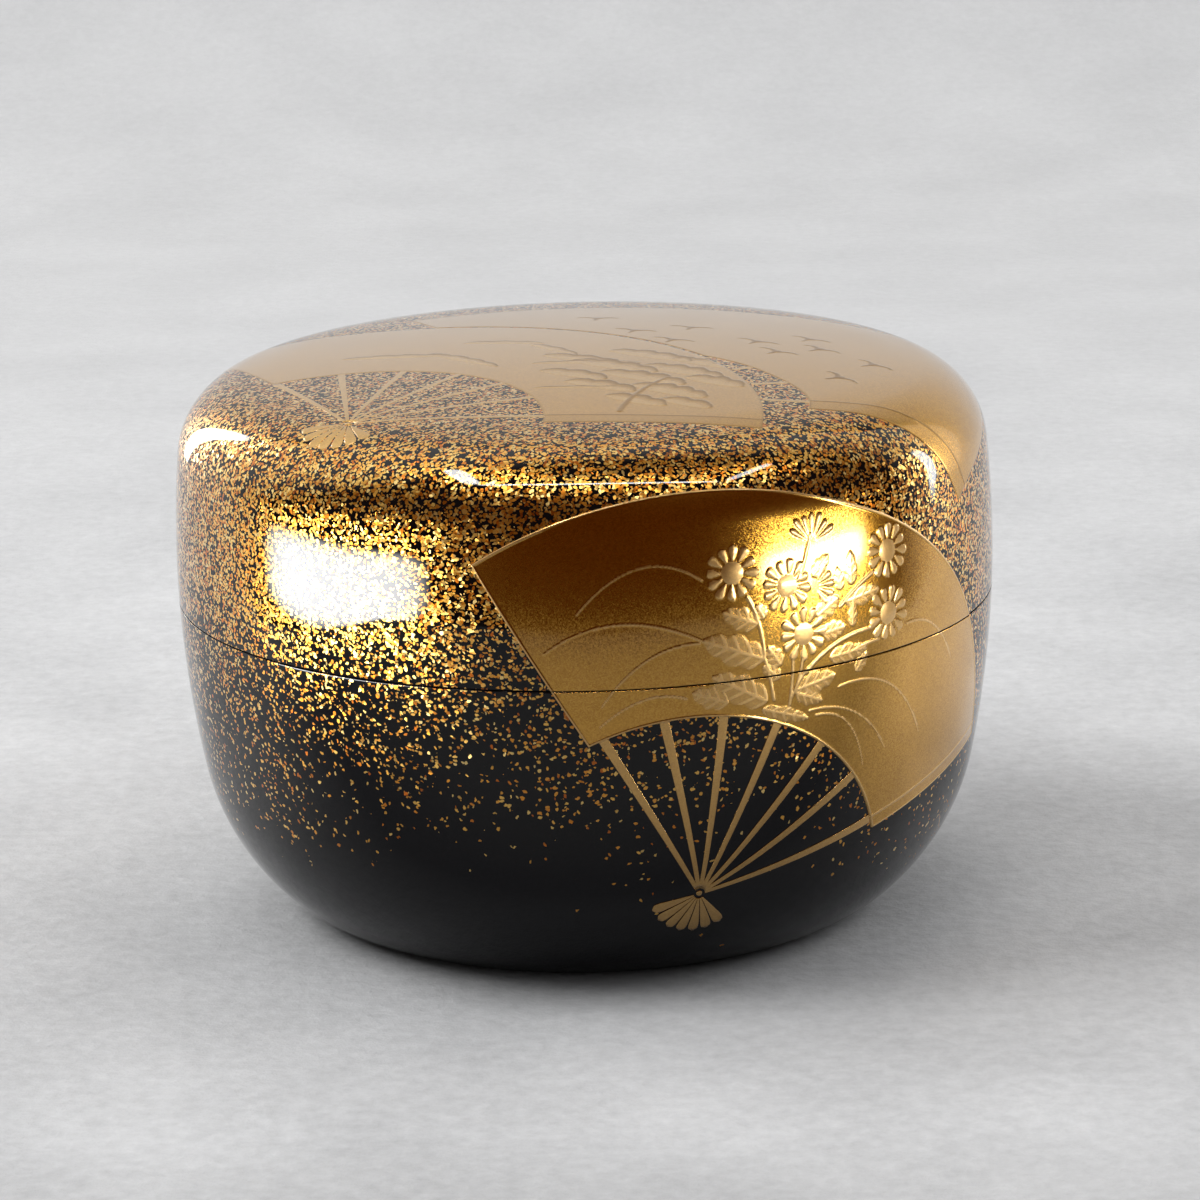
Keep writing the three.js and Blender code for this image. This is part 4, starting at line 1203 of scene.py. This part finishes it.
def paper_material():
    material, tree, shader = new_material("pale paper")
    place = place_of(tree)
    in_mm = vector_node(tree, "SCALE", place, scale=1000.0).outputs[0]
    broad = add(tree, "ShaderNodeTexNoise", {"Vector": in_mm, "Scale": 0.03, "Detail": 3.0})
    fine = add(tree, "ShaderNodeTexNoise", {"Vector": in_mm, "Scale": 0.5, "Detail": 6.0,
                                             "Roughness": 0.7})
    both = mixed(tree, 0.5, broad.outputs["Fac"], fine.outputs["Fac"], "FLOAT")
    where = add(tree, "ShaderNodeSeparateXYZ", {0: place}).outputs
    depth = where["Y"]
    high = add(tree, "ShaderNodeMapRange", {"Value": where["Z"], "From Min": 0.05,
                                            "From Max": 0.35}).outputs["Result"]
    far = add(tree, "ShaderNodeMapRange", {"Value": depth, "From Min": 0.03, "From Max": 0.3,
                                           "To Max": 0.6}).outputs["Result"]
    # Painted shade in front: for the camera it begins seven centimetres out, in reflections one centimetre
    # out, a painted reflection.
    near = add(tree, "ShaderNodeMapRange", {"Value": depth, "From Min": -0.07,
                                            "From Max": -0.14}).outputs["Result"]
    reflected_painted_shade_share = add(tree, "ShaderNodeMapRange", {"Value": depth, "From Min": -0.01,
                                                "From Max": -0.045}).outputs["Result"]
    near = mixed(tree, add(tree, "ShaderNodeLightPath").outputs["Is Glossy Ray"], near, reflected_painted_shade_share, "FLOAT")
    paper = ramp(tree, mixed(tree, far, both, 0.5, "FLOAT"),
                 [(0.32, (0.46, 0.463, 0.47)), (0.68, (0.68, 0.683, 0.69))])
    foot = add(tree, "ShaderNodeMapRange", {"Value": depth, "From Min": -0.075,
                                            "From Max": -0.05}).outputs["Result"]
    # High up the paper is painted whiter: a painted light.
    paper = mixed(tree, high, paper, PAINTED_LIGHT_HIGH_PAPER)
    front = mixed(tree, foot, PAINTED_SHADE_FRONT_PAPER, PAINTED_SHADE_FOOT_PAPER)
    tree.links.new(mixed(tree, near, paper, front), shader.inputs["Base Color"])
    bend = add(tree, "ShaderNodeTexNoise", {"Vector": in_mm, "Scale": 0.016, "Detail": 1.5})
    off = math_node(tree, "ABSOLUTE", math_node(tree, "SUBTRACT", bend.outputs["Fac"], 0.5))
    crease = add(tree, "ShaderNodeMapRange", {"Value": off, "From Min": 0.0, "From Max": 0.012,
                                              "To Min": 1.0, "To Max": 0.0}).outputs["Result"]
    folded = add(tree, "ShaderNodeBump", {"Height": crease, "Strength": 0.12, "Distance": 0.0003})
    bump = add(tree, "ShaderNodeBump", {"Strength": 0.6, "Distance": 0.0004,
                                        "Normal": folded.outputs["Normal"]})
    tree.links.new(fine.outputs["Fac"], bump.inputs["Height"])
    tree.links.new(bump.outputs["Normal"], shader.inputs["Normal"])
    shader.inputs["Roughness"].default_value = 0.85
    shader.inputs["Specular IOR Level"].default_value = 0.2
    return material


sweep = paper_sweep()
sweep.data.materials.append(paper_material())

# %% [markdown]
# The lights are placed by what has to be reflected: a long low softbox on each side, an upright strip
# behind each shoulder, and three thin bars overhead that draw the bright line round the front shoulder.
# They shine on the caddy only. The paper has its own lights, which the lacquer does not show: a panel
# above and behind, a window on the left, a reflector on the right, and a thin tube right above, which
# gives the narrow dark shadow under the belly. The room is dark in front, pale behind and to the upper
# left, and that gives the front fan its deep brown half.

# %% Lights


def towards(azimuth, elevation):
    """A direction from the caddy: azimuth 0 is towards the camera, and +90 to the right."""
    a, e = math.radians(azimuth), math.radians(elevation)
    return np.array([math.cos(e) * math.sin(a), -math.cos(e) * math.cos(a), math.sin(e)])


def soft_edges(data, hardness):
    """Lets a light fade near its edges and rounds its corners, as cloth over a softbox does."""
    data.use_nodes = True
    tree = data.node_tree
    emission = tree.nodes["Emission"]
    spot = add(tree, "ShaderNodeNewGeometry").outputs["Parametric"]
    parts = add(tree, "ShaderNodeSeparateXYZ", {0: spot}).outputs
    total = 0.0
    for axis in ("X", "Y"):
        centred = math_node(tree, "MULTIPLY", math_node(tree, "SUBTRACT", parts[axis], 0.5), 2.0)
        power = math_node(tree, "POWER", math_node(tree, "ABSOLUTE", centred), 4.0)
        total = math_node(tree, "ADD", power, total)
    fade = add(tree, "ShaderNodeMapRange", {"Value": total, "From Min": 1.0, "From Max": hardness,
                                            "To Min": 0.0, "To Max": 1.0}, interpolation_type="SMOOTHSTEP")
    tree.links.new(fade.outputs["Result"], emission.inputs["Strength"])


LIGHTS_FACE = (0.0, 0.0, 0.045)
CADDY = bpy.data.collections.new("caddy")
for piece in [lid_lacquer, bowl_lacquer] + GOLD_PIECES:
    CADDY.objects.link(piece)


def panel_light(name, first, last, width, strength, hardness, only_caddy=True):
    """A light strip between two points of the room, in metres, that faces the caddy."""
    first, last = np.array(first, float), np.array(last, float)
    middle = 0.5 * (first + last)
    length = float(np.linalg.norm(last - first))
    side = (last - first) / length
    back = middle - np.array(LIGHTS_FACE)
    back = back - side * (back @ side)
    back = back / np.linalg.norm(back)
    up = np.cross(back, side)
    data = bpy.data.lights.new(name, "AREA")
    data.shape = "RECTANGLE"
    data.size = length
    data.size_y = width
    data.energy = strength * length * width * math.pi
    soft_edges(data, hardness)
    light = bpy.data.objects.new(name, data)
    bpy.context.collection.objects.link(light)
    turn = Matrix((side, up, back)).transposed().to_4x4()
    turn.translation = middle.tolist()
    light.matrix_world = turn
    light.visible_camera = False
    if only_caddy:
        light.light_linking.receiver_collection = CADDY
    return light


def seen_from(spot, azimuth, elevation, distance):
    return np.array(spot) + distance * towards(azimuth, elevation)


LEFT_SIDE, RIGHT_SIDE = (-0.024, -0.033, 0.045), (0.027, -0.030, 0.044)
LEFT_EDGE, RIGHT_EDGE = (-0.038, -0.014, 0.049), (0.033, -0.023, 0.046)
# Name, the spot that reflects it, two ends as azimuth and elevation, distance, height, strength, hardness.
SIDE_LIGHTS = [
    ("left softbox", LEFT_SIDE, (-100.0, -9.9), (-41.0, -8.7), 0.95, 0.135, 21.0, -0.1),
    ("right softbox", RIGHT_SIDE, (46.0, -8.2), (84.0, -8.2), 0.95, 0.065, 22.0, 0.05),
    ("left back strip", LEFT_EDGE, (-151.0, -9.0), (-134.0, 31.0), 0.42, 0.05, 11.0, 0.4),
    ("right strip", RIGHT_EDGE, (113.5, -9.0), (113.0, 21.0), 0.7, 0.06, 9.0, 0.4),
]
for name, spot, first, last, distance, height, strength, hardness in SIDE_LIGHTS:
    ends = [seen_from(spot, azimuth, elevation, distance) for azimuth, elevation in (first, last)]
    panel_light(name, *ends, height, strength, hardness)

FRONT_SHOULDER = np.array([0.0, -0.037, 0.051])
BAR_HEIGHT = 0.7
BAR_HARDNESS = 0.8
# Name, two ends seen from the shoulder for a height of one, thickness and strength.
OVERHEAD_BARS = [
    ("overhead front bar", (-0.47, -0.47, 1.0), (0.68, -0.54, 1.0), 0.025, 24.0),
    ("overhead left bar", (-0.47, -0.45, 1.0), (-0.41, -0.02, 1.0), 0.06, 18.0),
    ("overhead right bar", (0.71, -0.50, 1.0), (0.70, -0.05, 1.0), 0.04, 14.0),
]
for name, first, last, thickness, strength in OVERHEAD_BARS:
    ends = [FRONT_SHOULDER + BAR_HEIGHT * np.array(end) for end in (first, last)]
    panel_light(name, *ends, thickness, strength, BAR_HARDNESS)

PAPER_HARDNESS = 0.4
# Name, two ends in metres, width and strength.
PAPER_LIGHTS = [
    ("panel behind", (-0.7, 0.55, 1.2), (0.6, 0.55, 1.2), 0.9, 1.05),
    ("window", (-0.9, -0.5, 0.85), (-0.9, 0.5, 0.85), 0.7, 6.7),
    ("reflector", (0.9, -0.2, 0.6), (0.9, 0.5, 0.6), 0.7, 3.6),
    ("tube above", (-0.65, -0.1, 0.9), (0.25, -0.1, 0.9), 0.03, 12.0),
]
for name, first, last, width, strength in PAPER_LIGHTS:
    light = panel_light(name, first, last, width, strength, PAPER_HARDNESS, only_caddy=False)
    light.visible_glossy = False

world = bpy.data.worlds.new("studio")
world.use_nodes = True
bpy.context.scene.world = world
tree = world.node_tree
is_glossy = add(tree, "ShaderNodeLightPath").outputs["Is Glossy Ray"]
look = add(tree, "ShaderNodeSeparateXYZ", {0: add(tree, "ShaderNodeTexCoord").outputs["Generated"]}).outputs
leftward = math_node(tree, "MAXIMUM", math_node(tree, "MULTIPLY", look["X"], -0.9), 0.0)
leftward = math_node(tree, "MULTIPLY", leftward, math_node(tree, "MAXIMUM", look["Z"], 0.0))
behind = math_node(tree, "ADD", look["Y"], leftward)
depth = add(tree, "ShaderNodeMapRange", {"Value": behind, "From Min": 0.1, "From Max": 0.5}).outputs[0]
DARK_FRONT, PALE_BACK = (0.063, 0.020, 0.0002, 1.0), (1.0, 0.98, 0.95, 1.0)
LOW_FILL, HIGH_FILL = (0.03, 0.03, 0.03, 1.0), (0.56, 0.56, 0.57, 1.0)
room = mixed(tree, depth, DARK_FRONT, PALE_BACK)
high = add(tree, "ShaderNodeMapRange", {"Value": look["Z"], "From Min": 0.1, "From Max": 1.0}).outputs[0]
fill = mixed(tree, high, LOW_FILL, HIGH_FILL)
tree.links.new(mixed(tree, is_glossy, fill, room), tree.nodes["Background"].inputs["Color"])

# %% [markdown]
# The camera stands a little under half a metre away and looks down at about fifteen degrees, with a long
# lens. Its place was worked out from the outline and the seam, which appears as part of an ellipse.

# %% Camera
CAMERA_DISTANCE = 450.0
CAMERA_ELEVATION = 14.828
CAMERA_TARGET = (1.436, 0.0, 30.475)
CAMERA_ROLL = -1.313
LENS = 131.775


def place_camera():
    data = bpy.data.cameras.new("camera")
    data.sensor_width = 36.0
    data.lens = LENS
    data.clip_start = 0.01
    data.clip_end = 20.0
    camera = bpy.data.objects.new("camera", data)
    bpy.context.collection.objects.link(camera)
    e, roll = math.radians(CAMERA_ELEVATION), math.radians(CAMERA_ROLL)
    right, up = np.array([1.0, 0.0, 0.0]), np.array([0.0, math.sin(e), math.cos(e)])
    back = np.array([0.0, -math.cos(e), math.sin(e)])
    spot = np.array(CAMERA_TARGET) + CAMERA_DISTANCE * back
    side = math.cos(roll) * right + math.sin(roll) * up
    over = -math.sin(roll) * right + math.cos(roll) * up
    turn = Matrix((side, over, back)).transposed().to_4x4()
    turn.translation = (spot * MM).tolist()
    camera.matrix_world = turn
    return camera


bpy.context.scene.camera = place_camera()
bpy.context.scene.view_settings.view_transform = "Standard"
bpy.context.scene.view_settings.look = "None"
